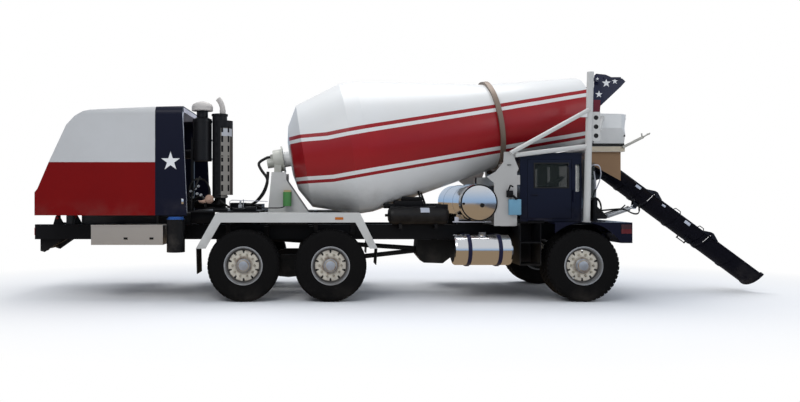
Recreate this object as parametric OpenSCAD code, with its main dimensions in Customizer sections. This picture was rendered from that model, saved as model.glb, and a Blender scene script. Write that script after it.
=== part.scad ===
// Front-discharge concrete mixer truck, three axles, engine at the rear.
// X runs forward, Y to the left, Z up. Stations along X are written from a datum
// line ahead of the rearmost axle. At the end all of it moves back by x_mid, so
// that the origin is on the ground at the middle of the length.

/* [Wheels and axles] */
// Radius of the tyre
tyre_r = 556; // [540:1:575]
// Width of the tyre
tyre_w = 420; // [400:1:430]
// Bead seat radius of the wheel
bead_r = 286; // [280:1:290]
// Distance from the truck's centre plane to the middle of a tyre
wheel_y = 1010; // [1000:1:1030]
// Station of the rearmost axle
axle_a_x = -1125; // [-1200:5:-1100]
// Station of the second axle
axle_b_x = 210; // [180:5:260]
// Station of the steered axle
axle_c_x = 4080; // [4060:5:4100]
// Distance from the centre plane to a kingpin
kingpin_y = 865; // [860:1:870]
// Radius of an axle's spindle
spindle_r = 60; // [50:1:65]

/* [Frame] */
// Rear end of the frame rails
frame_rear_x = -4650; // [-4700:10:-4600]
// Front end of the frame rails
frame_front_x = 4600; // [4590:5:4610]
// Underside of the rails
frame_z = 910; // [890:5:920]
// Height of a rail
frame_h = 245; // [220:5:260]
// Outer face of a rail from the centre plane
frame_y = 430; // [420:1:440]
// Width of a rail's flanges
rail_w = 85; // [70:1:95]
// Thickness of a rail's steel
rail_t = 10; // [8:1:14]

/* [Hood] */
// Half width of the hood
hood_y = 1100; // [1080:5:1130]
// Thickness of the hood's panel
hood_t = 14; // [8:1:20]

/* [Drum] */
// Rise of the drum's axis towards the front, in degrees
drum_tilt = 9.2; // [8.5:0.1:10]
// Station of the drum's rear head on its axis
drum_x = -400; // [-420:5:-380]
// Height of the drum's rear head on its axis
drum_z = 2270; // [2250:5:2300]
// Largest radius of the drum
drum_r = 1118; // [1080:1:1150]
// Thickness of the drum's shell
drum_t = 10; // [8:1:14]
// Place of the roller track along the drum
track_s = 3360; // [3340:5:3380]
// Height of the roller track over the drum's shell
track_h = 46; // [40:1:60]
// Width of the roller track
track_w = 75; // [60:1:90]
// Radius of a drum roller
roller_r = 90; // [85:1:95]
// Height of a mixing fin inside the drum
fin_h = 230; // [150:5:260]

/* [Cab] */
// Rear wall of the cab
cab_rear_x = 3175; // [3165:5:3180]
// Front end of the cab's side walls
cab_side_x = 4140; // [4100:5:4150]
// Front end of the cab at its middle
cab_nose_x = 4380; // [4300:5:4400]
// Half width of the cab
cab_y = 985; // [950:5:990]
// Underside of the cab
cab_z = 1226; // [1226:1:1240]
// Height of the cab
cab_h = 1074; // [1050:2:1090]
// Thickness of the cab's walls and doors
cab_t = 40; // [30:1:50]

/* [Chute] */
// Slope of the chute as parked, in degrees
chute_slope = 36.4; // [35:0.1:38]
// Station of the chute's lifting hinge
lift_x = 4750; // [4740:5:4760]
// Height of the chute's lifting hinge
lift_z = 1933; // [1920:1:1945]
// Outer radius of the chute's trough
chute_r = 270; // [250:1:280]
// Length of the chute past its first fold
fold_len = 1163; // [1100:1:1200]
// Length of the chute's end section
end_len = 1110; // [1050:1:1110]
// Distance from the lifting hinge to the first fold
fold_a = 887; // [880:1:900]

/* [Hidden] */
$fn = 64;

// Clearances
seat = 0.3;
gap = 6;

// Derived stations
frame_top = frame_z + frame_h;
hitch_x = frame_rear_x - 40;
chute_n = 300;
chute_tip_a = fold_a + fold_len + end_len;
tip_lip = 18;
tip_x = lift_x + chute_tip_a * cos(chute_slope) + (chute_n + tip_lip) * sin(chute_slope);
x_mid = (hitch_x + tip_x) / 2;

module placed() {
    translate([-x_mid, 0, 0]) children();
}

// A box between two corners
module span(a, b) {
    translate(a) cube(b - a);
}

// A round bar between two points
module bar(a, b, r) {
    d = b - a;
    len = norm(d);
    translate(a) rotate([0, acos(d[2] / len), atan2(d[1], d[0])]) cylinder(r = r, h = len);
}

// A plate drawn in the side view, with its lower Y face at y and its thickness t
module side_plate(y, t) {
    translate([0, y + t, 0]) rotate([90, 0, 0]) linear_extrude(t) children();
}

module both_sides() {
    children();
    mirror([0, 1, 0]) children();
}

// A wheel's own frame: local Z points away from the truck
module at_wheel(x, side) {
    placed() translate([x, side * wheel_y, tyre_r]) rotate([-side * 90, 0, 0]) children();
}

module tyre(x, side) {
    // radius and half width of the section, bead to tread
    shell = [[bead_r + seat, 180], [bead_r + 25, 190], [bead_r + 90, tyre_w / 2 - 4],
        [bead_r + 140, tyre_w / 2], [tyre_r - 75, tyre_w / 2 - 4], [tyre_r - 28, tyre_w / 2 - 22],
        [tyre_r - 8, tyre_w / 2 - 40], [tyre_r, tyre_w / 2 - 62]];
    color("#1c1c1d") at_wheel(x, side) rotate_extrude($fn = 96)
        polygon(concat(shell, [for (i = [len(shell) - 1:-1:0]) [shell[i][0], -shell[i][1]]]));
}

// Wheel disc, hub, nuts, hub cap and brake drum, which turn together
nut_circle_r = 167.5;
drum_in = 112;
disc_z = 140;
module rim(x, side) {
    color("#d8d3c6") at_wheel(x, side) difference() {
        union() {
            rotate_extrude($fn = 96) {
                translate([bead_r - 16, -188]) square([16, 376]);
                for (z = [-198, 186]) translate([bead_r - 16, z]) square([26, 12]);
                translate([0, disc_z - 12]) square([bead_r - 8, 12]);
                polygon([[0, -30], [125, -30], [125, 30], [150, disc_z - 6], [0, disc_z - 6]]);
                polygon([[0, -20], [220, -20], [220, -drum_in], [202, -drum_in], [202, -35], [0, -35]]);
                polygon([[0, disc_z], [112, disc_z], [104, disc_z + 14], [98, disc_z + 14],
                    [92, disc_z + 55], [80, disc_z + 62], [0, disc_z + 62]]);
            }
            for (i = [0:9]) rotate(i * 36) translate([nut_circle_r, 0, disc_z - 1])
                cylinder(r = 16, h = 30, $fn = 24);
        }
        translate([0, 0, -200]) cylinder(r = spindle_r + seat, h = 200 + disc_z + 20);
        for (i = [0:9]) rotate(i * 36 + 18) translate([226, 0, disc_z - 20])
            cylinder(r = 17, h = 40, $fn = 24);
    }
}

// Steered axle: beam, kingpins, knuckles and tie rod
eye_h = 110;
lug_h = 42;
pin_r = 25;
arm_len = 155;
arm_drop = 110;
arm_t = 24;
ball_r = 14;
rod_z = tyre_r - arm_drop - arm_t - 22;
module knuckle(side) {
    lug_end = eye_h / 2 + lug_h;
    color("#3a3a3c") placed() translate([axle_c_x, side * kingpin_y, tyre_r]) {
        for (z = [-1, 1]) hull() {
            translate([0, 0, z * (eye_h / 2 + seat + lug_h / 2)]) {
                cylinder(r = 46, h = lug_h, center = true, $fn = 32);
                translate([0, side * 56, 0]) cube([100, 20, lug_h], center = true);
            }
        }
        cylinder(r = pin_r, h = eye_h + 2 * lug_h, center = true);
        translate([-60, side * 66 - 14, -lug_end]) cube([120, 28, 2 * lug_end]);
        rotate([-side * 90, 0, 0]) translate([0, 0, 60])
            cylinder(r = spindle_r, h = wheel_y - kingpin_y + disc_z - 45);
        // steering arm, straight back below the beam
        translate([0, 0, -arm_drop - arm_t]) cylinder(r = 44, h = arm_drop + arm_t - eye_h / 2 - 5);
        translate([-arm_len, -24, -arm_drop - arm_t]) cube([arm_len, 48, arm_t]);
        translate([-arm_len, 0, -arm_drop - arm_t - 46]) cylinder(r = ball_r, h = 60);
    }
}

module tie_rod() {
    x = axle_c_x - arm_len;
    color("#2c2c2e") placed() difference() {
        union() {
            translate([x, -kingpin_y, rod_z]) rotate([-90, 0, 0]) cylinder(r = 19, h = 2 * kingpin_y);
            for (s = [-1, 1]) translate([x, s * kingpin_y, rod_z - 18]) cylinder(r = 30, h = 40 - seat);
        }
        for (s = [-1, 1]) translate([x, s * kingpin_y, rod_z - 40]) cylinder(r = ball_r + seat, h = 80);
    }
}

beam_drop = 130;
spring_y = frame_y - rail_w / 2;
module front_axle() {
    color("#2e2e30") placed() {
        difference() {
            union() {
                for (s = [-1, 1]) {
                    translate([axle_c_x, s * kingpin_y, tyre_r - eye_h / 2]) cylinder(r = 44, h = eye_h);
                    hull() {
                        translate([axle_c_x - 40, s * (kingpin_y - 60) - 10, tyre_r - eye_h / 2])
                            cube([80, 20, eye_h]);
                        translate([axle_c_x - 40, s * 620 - 10, tyre_r - beam_drop - 55])
                            cube([80, 20, 110]);
                    }
                    translate([axle_c_x - 40, s > 0 ? kingpin_y - 70 : -kingpin_y, tyre_r - eye_h / 2])
                        cube([80, 70, eye_h]);
                }
                span([axle_c_x - 40, -630, tyre_r - beam_drop - 55],
                    [axle_c_x + 40, 630, tyre_r - beam_drop + 55]);
            }
            for (s = [-1, 1]) translate([axle_c_x, s * kingpin_y, 0]) cylinder(r = pin_r + seat, h = 2000);
            for (s = [-1, 1]) translate([axle_c_x + s * 40, 0, tyre_r - beam_drop])
                cube([40, 1000, 60], center = true);
        }
        // leaf packs with their hangers, one under each rail
        for (s = [-1, 1]) translate([axle_c_x, s * spring_y, 0]) {
            for (i = [0:4]) span([-620 + i * 110, -42, tyre_r - beam_drop + 55],
                [620 - i * 110, 42, tyre_r - beam_drop + 55 + 18 + i * 18]);
            for (x = [-600, 455]) span([x, -42, tyre_r - beam_drop + 73], [x + 60, 42, frame_z]);
        }
    }
}

// Driven tandem on walking beams
beam_y = 590;
module rear_axles() {
    pivot_x = (axle_a_x + axle_b_x) / 2;
    pivot_z = tyre_r - 150;
    color("#2a2a2c") placed() {
        for (x = [axle_a_x, axle_b_x]) translate([x, 0, tyre_r]) {
            rotate([90, 0, 0]) {
                cylinder(r = 78, h = 2 * (wheel_y - drum_in), center = true);
                cylinder(r = spindle_r, h = 2 * (wheel_y + disc_z + 15), center = true);
                for (s = [-1, 1]) translate([0, 0, s * (wheel_y - drum_in + 6)])
                    cylinder(r = 190, h = 14, center = true);
            }
            // banjo housing and pinion carrier
            rotate([90, 0, 0]) cylinder(r = 205, h = 190, center = true);
            rotate([0, 90, 0]) cylinder(r = 110, h = 290);
        }
        for (s = [-1, 1]) {
            side_plate(s * beam_y - 45, 90) {
                for (x = [axle_a_x, axle_b_x]) translate([x, tyre_r - 100]) circle(r = 75);
                polygon([[axle_a_x, tyre_r - 170], [axle_a_x, tyre_r - 30], [pivot_x, pivot_z + 95],
                    [axle_b_x, tyre_r - 30], [axle_b_x, tyre_r - 170], [pivot_x, pivot_z - 95]]);
            }
            // saddle, spring pack and hanger up to the rail
            translate([pivot_x, s * beam_y, 0]) {
                span([-130, -60, pivot_z + 60], [130, 60, pivot_z + 170]);
                for (i = [0:4]) span([-430 + i * 75, -50, pivot_z + 170],
                    [430 - i * 75, 50, pivot_z + 190 + i * 20]);
                for (x = [-400, 330]) span([x, -50, pivot_z + 180], [x + 70, 50, frame_top - 30]);
            }
            for (x = [-400, 330]) translate([pivot_x + x, 0, 0])
                span([0, s > 0 ? frame_y : -beam_y - 40, frame_z + 20],
                    [70, s > 0 ? beam_y + 40 : -frame_y, frame_top - 30]);
        }
    }
}

// Frame
module frame_rails() {
    color("#202022") placed() both_sides() difference() {
        span([frame_rear_x, frame_y - rail_w, frame_z], [frame_front_x, frame_y, frame_top]);
        span([frame_rear_x - 1, frame_y - rail_w - 1, frame_z + rail_t],
            [frame_front_x + 1, frame_y - rail_t, frame_top - rail_t]);
    }
}

member_x = [-4560, -2700, -457, 1180, 1980, 2900, 3560, 4540];
module cross_members() {
    y = frame_y - rail_t;
    color("#202022") placed() for (x = member_x) difference() {
        span([x - 50, -y, frame_z + rail_t], [x + 50, y, frame_z + rail_t + 90]);
        span([x - 42, -y + 20, frame_z + rail_t - 1], [x + 42, y - 20, frame_z + rail_t + 80]);
    }
}

hook_t = 60;
tow_eye_r = 26;
module at_tow_eye() {
    translate([hitch_x + 50, 0, frame_z - 175]) rotate([90, 0, 0]) children();
}

module rear_hitch() {
    y = frame_y - rail_w;
    color("#242426") placed() {
        for (s = [-1, 1]) side_plate(s * (y - 20) - 8, 16) polygon([[-4600, frame_z + rail_t],
            [-4300, frame_z + rail_t], [-4260, frame_z - 30], [-4530, frame_z - 220],
            [-4600, frame_z - 200]]);
        bar([-4560, -y + 10, frame_z - 150], [-4560, y - 10, frame_z - 150], 32);
        // hook beam with its eye
        difference() {
            union() {
                side_plate(-hook_t / 2, hook_t) polygon([[-4600, frame_z - 190], [-4300, frame_z - 40],
                    [-4300, frame_z + rail_t], [-4400, frame_z + rail_t], [-4640, frame_z - 140]]);
                at_tow_eye() cylinder(r = tow_eye_r + 24, h = hook_t, center = true);
            }
            at_tow_eye() cylinder(r = tow_eye_r, h = hook_t + 20, center = true);
        }
        // upright strut and hood pivot stands on the frame's end
        for (s = [-1, 1]) difference() {
            side_plate(s * (frame_y - 40) - 12, 24) polygon([[hood_pin_x - 70, frame_top],
                [hood_pin_x + 110, frame_top], [hood_pin_x + 30, hood_pin_z + 30],
                [hood_pin_x - 30, hood_pin_z + 30]]);
            translate([hood_pin_x, 0, hood_pin_z]) rotate([90, 0, 0])
                cylinder(r = hood_pin_r + seat, h = 2000, center = true);
        }
    }
}

// Engine, one plain block, with its gearbox between the rails and its radiator
engine_y = 380;
module engine_block() {
    color("#3c3f42") placed() {
        span([-3850, -engine_y, frame_top], [-2650, engine_y, 2250]);
        span([-2650, -250, frame_z + 30], [-2100, 250, frame_top + 180]);
        // intake housing
        span([-2950, -engine_y, 2200], [-2650, engine_y, 2400]);
        span([-4150, -780, frame_top + 190], [-4030, 780, 2040]);
        for (s = [-1, 1]) span([-4140, s * 350 - 60, frame_top], [-4040, s * 350 + 60, frame_top + 190]);
        // fan
        translate([-4030, 0, 1650]) rotate([0, 90, 0]) cylinder(r = 350, h = 60);
        translate([-3970, 0, 1650]) rotate([0, 90, 0]) cylinder(r = 60, h = 120);
    }
}

// Hood: side outline from the rear foot over the top to the front edge
hood_pin_x = -4290;
hood_pin_z = 1262;
hood_pin_r = 22;
hood_side = [[-4364, 1325], [-4364, 1683], [-4320, 1737], [-4135, 2170], [-3876, 2724],
    [-3746, 2864], [-3616, 2940], [-3506, 2962], [-2488, 3016], [-2086, 3031], [-2010, 1335],
    [-2010, 1325]];
hood_round = 130;
module hood_solid(inset) {
    intersection() {
        translate([0, hood_y, 0]) rotate([90, 0, 0]) linear_extrude(2 * hood_y)
            offset(delta = -inset) polygon(hood_side);
        rotate([90, 0, 90]) translate([0, 0, -5000]) linear_extrude(4000) union() {
            translate([-hood_y + inset, 1000]) square([2 * (hood_y - inset), 1800]);
            translate([-hood_y + inset + hood_round, 1000]) square([2 * (hood_y - inset - hood_round), 3000]);
            for (s = [-1, 1]) hull() {
                translate([s * (hood_y - inset - hood_round), 3031 - inset - hood_round])
                    circle(r = hood_round, $fn = 32);
                translate([s * (hood_y - inset - hood_round), 2700]) circle(r = hood_round, $fn = 32);
            }
        }
    }
}

module hood() {
    color("#e8e8e6") placed() {
        difference() {
            hood_solid(0);
            hood_solid(hood_t);
            // open underside and front
            span([-4345, -hood_y + hood_t, 1300], [-1900, hood_y - hood_t, 1345]);
            span([-2110, -hood_y + hood_t, 1300], [-1900, hood_y - hood_t, 2940]);
            // air outlet in the rear slope
            span([-4500, -760, 1800], [-4080, 760, 2080]);
        }
        // slats of the rear outlet
        for (i = [0:5]) translate([-4281 + i * 20.5, 0, 1812 + i * 48]) rotate([0, 25, 0])
            cube([16, 1530, 22], center = true);
        for (y = [-380, 0, 380]) side_plate(y - 8, 16)
            polygon([[-4292, 1790], [-4167, 2090], [-4155, 2084], [-4280, 1784]]);
        // pivot arms under the rear edge
        for (s = [-1, 1]) {
            side_plate(s * (frame_y - 75) - 10, 20) polygon([[hood_pin_x - 34, hood_pin_z - 30],
                [hood_pin_x + 34, hood_pin_z - 30], [hood_pin_x + 34, 1345], [-4355, 1345], [-4355, 1326],
                [hood_pin_x - 34, 1326]]);
            translate([hood_pin_x, s * (frame_y - 85), hood_pin_z]) rotate([-s * 90, 0, 0])
                cylinder(r = hood_pin_r, h = 75);
            span([-4362, s * (frame_y - 75) - 60, 1325], [-4200, s * (frame_y - 75) + 60, 1345]);
        }
    }
}

// Intake and exhaust behind the hood
stack_y = -750;
deck_z = 1370;
deck_t = 20;
deck_top = deck_z + deck_t;
cleaner_x = -1830;
module air_cleaner() {
    color("#c9ccce") placed() translate([cleaner_x, stack_y, 0]) {
        rotate_extrude() {
            translate([0, 2180]) square([150, 670]);
            polygon([[0, 2850], [140, 2850], [90, 2880], [90, 2990], [0, 2990]]);
            polygon([[0, 2985], [168, 2985], [168, 3050], [150, 3085], [105, 3113], [45, 3130], [0, 3130]]);
            for (z = [2200, 2500, 2800]) translate([0, z]) square([156, 26]);
        }
        // intake duct, cut flat where it meets the engine's intake housing
        difference() {
            bar([0, 0, 2300], [-2730 - cleaner_x, 483, 2300], 75);
            span([-3000 - cleaner_x, 200, 2200], [-2650 + seat - cleaner_x, 700, 2400]);
        }
        // post on the deck
        span([-180, -30, deck_top], [-130, 30, 2560]);
    }
}

muffler_x = -1552;
guard_x = 60;
tail_x = 47;
tail_r = 43;
tail_bend = 290;
module exhaust() {
    color("#cfd2d4") placed() translate([muffler_x, stack_y, 0]) {
        translate([0, 0, 1590]) cylinder(r = 118, h = 1330);
        rotate_extrude() {
            translate([0, 1600]) square([130, 30]);
            translate([0, 2900]) square([130, 30]);
        }
        // perforated guard and its bands on the outer front side
        translate([guard_x, 0, 0]) intersection() {
            union() {
                difference() {
                    translate([0, 0, 1640]) cylinder(r = 150, h = 1180);
                    translate([0, 0, 1600]) cylinder(r = 144, h = 1300);
                    for (k = [0:6]) for (a = [-40, 0, 40]) rotate(a) translate([0, -200, 1700 + k * 155])
                        translate([-17, 0, 0]) cube([34, 200, 100]);
                }
                for (z = [1680, 2230, 2780]) rotate_extrude() translate([110, z]) square([36, 18]);
            }
            span([-110, -170, 1600], [170, 0, 2900]);
        }
        // curved tail pipe, leaning to the rear
        translate([tail_x, 0, 2920]) cylinder(r = tail_r + 5, h = 80);
        translate([tail_x - tail_bend, 0, 2985]) rotate([90, 0, 0]) rotate_extrude(angle = 42)
            translate([tail_bend, 0]) circle(r = tail_r);
        // inlet pipe and foot
        translate([0, 0, 1500]) cylinder(r = 55, h = 92);
        translate([0, 0, 1500]) sphere(r = 55);
        difference() {
            bar([0, 0, 1500], [-2710 - muffler_x, 475, 1500], 55);
            span([-3000 - muffler_x, 200, 1400], [-2650 + seat - muffler_x, 700, 1600]);
        }
        span([-90, 40, deck_top], [90, 60, 1640]);
    }
}

module service_deck() {
    color("#8f9294") placed() {
        span([-2012, -1050, deck_z], [-900, 1050, deck_top]);
        for (x = [-1950, -1000]) for (s = [-1, 1])
            span([x, s * (frame_y - 45) - 35, frame_top], [x + 70, s * (frame_y - 45) + 35, deck_z]);
        // oil tank and valve block on the deck
        span([-1400, 150, deck_top], [-960, 800, 1480]);
        span([-1420, -520, deck_top], [valve_x, -250, 1512]);
    }
}

module tool_boxes() {
    color("#c4c6c8") placed() both_sides() {
        span([-3490, 590, 868], [-2380, 1100, 1170]);
        span([-3490, 1100, 1150], [-2380, 1106, 1178]);
        for (x = [-3380, -2560]) span([x, frame_y, 930], [x + 70, 590, 1010]);
    }
}

// Fenders over the tandem: profile from the rear foot to the front foot
fender_t = 10;
fender_in = 790;
fender_out = 1215;
fender_z = 1365;
fender_side = [[-1850, 820], [-1540, fender_z], [660, fender_z], [930, 820]];
module fender_skin(y0, y1) {
    n = len(fender_side);
    translate([0, y1, 0]) rotate([90, 0, 0]) linear_extrude(y1 - y0) difference() {
        polygon(fender_side);
        translate([0, -1]) offset(delta = -fender_t)
            polygon(concat([[-1850, 780]], [for (i = [0:n - 1]) fender_side[i]], [[930, 780]]));
    }
}

module rear_fenders() {
    color("#e4e4e2") placed() both_sides() {
        difference() {
            union() {
                fender_skin(fender_in, fender_out);
                // outer valance
                side_plate(fender_out - fender_t, fender_t) polygon([[-1850, 820], [-1540, fender_z],
                    [660, fender_z], [930, 820], [810, 820], [590, 1220], [-1470, 1220], [-1700, 820]]);
            }
            span([-1800, fender_in - 1, 500], [900, fender_out - fender_t - 1, 830]);
        }
        // arms from the frame
        for (x = [-1500, -50, 560]) {
            span([x, frame_y, frame_top - 160], [x + 70, frame_y + 16, fender_z - 25]);
            span([x, frame_y, fender_z - 70], [x + 70, fender_out - 60, fender_z - 11]);
        }
    }
}

module mud_flaps() {
    color("#161617") placed() both_sides() {
        side_plate(fender_in + 10, fender_out - fender_in - 30)
            polygon([[-1848, 820], [-1836, 820], [-1826, 430], [-1838, 430]]);
        side_plate(fender_in + 10, fender_out - fender_in - 30)
            polygon([[918, 820], [929, 820], [912, 570], [901, 570]]);
    }
}

tank_r = 240;
tank_y = 930;
tank_z = 780;
module fuel_tanks() {
    color("#c9ccd0") placed() both_sides() {
        translate([2130, tank_y, tank_z]) rotate([0, 90, 0]) rotate_extrude()
            polygon([[0, 0], [tank_r - 40, 0], [tank_r - 12, 10], [tank_r, 34], [tank_r, 866],
                [tank_r - 12, 890], [tank_r - 40, 900], [0, 900]]);
        for (x = [2330, 2800]) {
            translate([x, tank_y, tank_z]) rotate([0, 90, 0]) cylinder(r = tank_r + 6, h = 60);
            // bracket from the rail
            span([x, frame_y, frame_z + 30], [x + 60, tank_y - 120, frame_z + 110]);
            span([x, frame_y, 560], [x + 60, frame_y + 60, frame_z + 60]);
            span([x, frame_y, 520], [x + 60, tank_y, 560]);
        }
        translate([2590, tank_y + 40, tank_z + 200]) cylinder(r = 55, h = 75);
    }
}

water_z = 1520;
water_r = 289;
module water_tank() {
    color("#d2d5d8") placed() {
        translate([water_x, 0, water_z]) rotate([90, 0, 0]) rotate_extrude()
            polygon([[0, -950], [190, -940], [262, -915], [water_r, -870], [water_r, 870],
                [262, 915], [190, 940], [0, 950]]);
        for (s = [-1, 1]) {
            translate([water_x, s * 380, water_z]) rotate([90, 0, 0])
                cylinder(r = water_r + 6, h = 60, center = true);
            span([water_x - 210, s * 380 - 40, frame_top], [water_x + 210, s * 380 + 40, water_z - 190]);
        }
        bar([water_x - 10, -840, water_z + 270], [water_x - 10, -840, water_z + 400], 14);
    }
}

air_y = 570;
air_z = 1310;
module air_tanks() {
    color("#1b1b1d") placed() {
        translate([air_x, -air_y, air_z]) rotate([0, 90, 0]) rotate_extrude()
            polygon([[0, 0], [90, 12], [135, 40], [150, 80], [150, 920], [135, 960], [90, 988], [0, 1000]]);
        bar([air_x - 40, -air_y, air_z], [air_x + 10, -air_y, air_z], 22);
        for (x = [180, 760]) span([air_x + x, -air_y - 60, frame_top - 60],
            [air_x + x + 50, -frame_y, frame_top + 30]);
        // filter canister behind the hood
        translate([-2200, -1000, 750]) cylinder(r = 140, h = 520);
        translate([-2200, -1000, 1265]) cylinder(r = 120, h = 35);
        span([-2240, -900, 950], [-2160, -frame_y, 1040]);
        // valve bank over the tank
        span([1300, -frame_y + 10, frame_top], [1820, -frame_y + 200, frame_top + 300]);
        for (i = [0:4]) translate([1370 + i * 95, -frame_y + 100, frame_top + 290]) cylinder(r = 26, h = 65);
    }
}

module driveline() {
    color("#2f3032") placed() {
        // transfer case under the frame, hung from a cross member
        side_plate(-210, 420) polygon([[1700, 885], [1680, 640], [1800, 500], [2120, 490], [2290, 620],
            [2280, 860], [2180, 885]]);
        for (s = [-1, 1]) span([1930, s * 180 - 30, 870], [2030, s * 180 + 30, frame_z + rail_t]);
        // shafts: rear end and front end, each as station and height. Each rear end
        // is just clear of the face that its tilted flange is bolted to.
        for (end = [[-2095, 980, 1700, 726], [axle_b_x + 298.1, tyre_r, 1690, 690]]) {
            bar([end[0], 0, end[1]], [end[2], 0, end[3]], 40);
            bar([end[0], 0, end[1]],
                [end[0] + 60, 0, end[1] + 60 * (end[3] - end[1]) / (end[2] - end[0])], 70);
        }
        bar([axle_a_x + 290, 0, tyre_r], [axle_b_x - 205, 0, tyre_r], 36);
    }
}

// Drum frame: local Z runs forward along the drum's axis, local X points down
module at_drum(s) {
    placed() translate([drum_x, 0, drum_z]) rotate([0, 90 - drum_tilt, 0]) translate([0, 0, s]) children();
}

// place along the axis and outer radius, from the rear head to the mouth
drum_form = [[0, 550], [190, 877], [950, drum_r], [1200, drum_r], [3380, 720], [4950, 580]];
head_s = -50;
head_r = 300;
shaft_r = 60;
mouth_s = drum_form[5][0];
track_r = lookup(track_s, drum_form) + track_h;
module drum_shell() {
    n = len(drum_form);
    color("#ececea") at_drum(0) rotate_extrude($fn = 128) polygon(concat(
        [[shaft_r + seat, head_s - 110], [shaft_r + 70, head_s - 110], [shaft_r + 70, head_s],
            [head_r, head_s]],
        [for (p = drum_form) [p[1], p[0]]],
        [for (i = [n - 1:-1:1]) [drum_form[i][1] - drum_t, drum_form[i][0]]],
        [[drum_form[0][1] - drum_t, drum_t], [head_r, head_s + drum_t], [shaft_r + seat, head_s + drum_t]]));
}

// Two spiral mixing fins, from the head to the mouth
function wall_r(s) = lookup(s, drum_form) - drum_t - seat;
fin_turns = 4;
fin_steps = 20;
fin_s = [230, 4700];
fin_t = 8;
module drum_fins() {
    n = fin_turns * fin_steps;
    color("#9b9c9a") at_drum(0) for (start = [0, 180]) {
        ring = [for (i = [0:n]) let (s = fin_s[0] + (fin_s[1] - fin_s[0]) * i / n,
            a = start + 360 * i / fin_steps, h = fin_h * (1 - 0.45 * i / n))
            for (c = [[0, 0], [0, fin_t], [h, fin_t], [h, 0]])
                [(wall_r(s + fin_t * (c[1] > 0 ? 1 : 0)) - c[0]) * cos(a),
                    (wall_r(s + fin_t * (c[1] > 0 ? 1 : 0)) - c[0]) * sin(a), s + c[1]]];
        sides = [for (i = [0:n - 1]) for (k = [0:3])
            for (t = [[0, 1, 2], [0, 2, 3]])
                let (q = [4 * i + k, 4 * i + (k + 1) % 4, 4 * i + 4 + (k + 1) % 4, 4 * i + 4 + k])
                    [q[t[0]], q[t[1]], q[t[2]]]];
        polyhedron(ring, concat([[3, 2, 1, 0]], [[4 * n, 4 * n + 1, 4 * n + 2, 4 * n + 3]], sides));
    }
}

module track_ring() {
    color("#8d8f90") at_drum(track_s) rotate_extrude($fn = 128)
        polygon([[lookup(track_s, drum_form) + seat, 0], [track_r, 0], [track_r, track_w],
            [lookup(track_s + track_w, drum_form) + seat, track_w]]);
}

// Rollers under the track, turning beside their cheeks
roller_angle = 33;
roller_w = track_w + 9;
roller_c = track_r + roller_r + seat;
roller_s = track_s + track_w / 2;
cheek_t = 12;
pivot_r = 28;
// a roller's centre in the truck's side view
roller_x = drum_x + roller_s * cos(drum_tilt) + roller_c * cos(roller_angle) * sin(drum_tilt);
roller_z = drum_z + roller_s * sin(drum_tilt) - roller_c * cos(roller_angle) * cos(drum_tilt);
module at_roller(side) {
    at_drum(roller_s) translate([roller_c * cos(roller_angle), side * roller_c * sin(roller_angle), 0])
        children();
}

module roller(side) {
    color("#6b6d6f") at_roller(side) {
        cylinder(r = roller_r, h = roller_w, center = true);
        cylinder(r = pivot_r, h = roller_w + 2 * (gap + cheek_t), center = true);
    }
}

tower_y = 1040;
tower_t = 16;
beam_top = roller_z - 151;
// the water tank stands behind the pedestal, and the air tank behind the water tank
water_x = roller_x - 539;
air_x = water_x - 1380;
// upper outline of a tower's plate, from the roller's centre
tower_head = [[41, -111], [68, -51], [6, 99], [6, 209], [-159, 209], [-169, 49], [-289, -101],
    [-429, -176], [-369, -231], [-313, -271]];
module front_pedestal() {
    color("#e3e3e0") {
        placed() {
            for (s = [-1, 1]) side_plate(s * tower_y - tower_t / 2, tower_t)
                polygon(concat([[roller_x - 313, frame_top + 5], [roller_x + 41, frame_top + 5]],
                    [for (p = tower_head) [roller_x, roller_z] + p]));
            span([roller_x - 199, -tower_y, frame_top], [roller_x + 21, tower_y, frame_top + 160]);
            span([roller_x - 129, -tower_y, beam_top - 150], [roller_x + 91, tower_y, beam_top]);
        }
        difference() {
            union() for (s = [-1, 1]) at_roller(s) for (e = [-1, 1])
                translate([-52, -60, e * (roller_w / 2 + gap + cheek_t / 2) - cheek_t / 2])
                    cube([230, 120, cheek_t]);
            for (s = [-1, 1]) at_roller(s) cylinder(r = pivot_r + seat, h = 400, center = true);
        }
    }
}

// Rear pedestal with the drum's gearbox and motor
pedestal_y = 500;
saddle_z = 2015;
module rear_pedestal() {
    color("#cfd0cf") placed() {
        for (s = [-1, 1]) side_plate(s * pedestal_y - 12, 24)
            polygon([[-800, frame_top], [-140, frame_top], [-140, 1360], [-500, 1886], [-500, saddle_z],
                [-740, saddle_z], [-800, 1360]]);
        for (x = [-780, -220]) span([x, -pedestal_y, frame_top], [x + 60, pedestal_y, frame_top + 60]);
        span([-740, -pedestal_y, saddle_z - 75], [-580, pedestal_y, saddle_z]);
        // filter on the side plate
        translate([-480, -pedestal_y - 90, 1460]) cylinder(r = 70, h = 230);
        span([-540, -pedestal_y - 100, 1690], [-420, -pedestal_y, 1720]);
    }
}

port = [-386, -82];
module drum_drive() {
    color("#b9b6a6") {
        at_drum(head_s - 110 - gap) {
            translate([0, 0, -170]) cylinder(r = 190, h = 170);
            translate([0, 0, -20]) cylinder(r = 240, h = 20);
            for (i = [0:11]) rotate(i * 30) translate([215, 0, 0]) cylinder(r = 10, h = 4, $fn = 24);
            translate([0, 0, -10]) cylinder(r = shaft_r, h = 110 + gap + drum_t + 10);
            translate([25, 0, -290]) cylinder(r = 80, h = 130);
        }
        // port block, whose rear face takes the hose
        at_drum(port[0]) translate([port[1] - 40, -50, 0]) cube([90, 90, 60]);
        // feet on the pedestal's saddle
        for (s = [-1, 1]) placed() span([-720, s * 140 - 40, saddle_z], [-600, s * 140 + 40, 2150]);
    }
}

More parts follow.
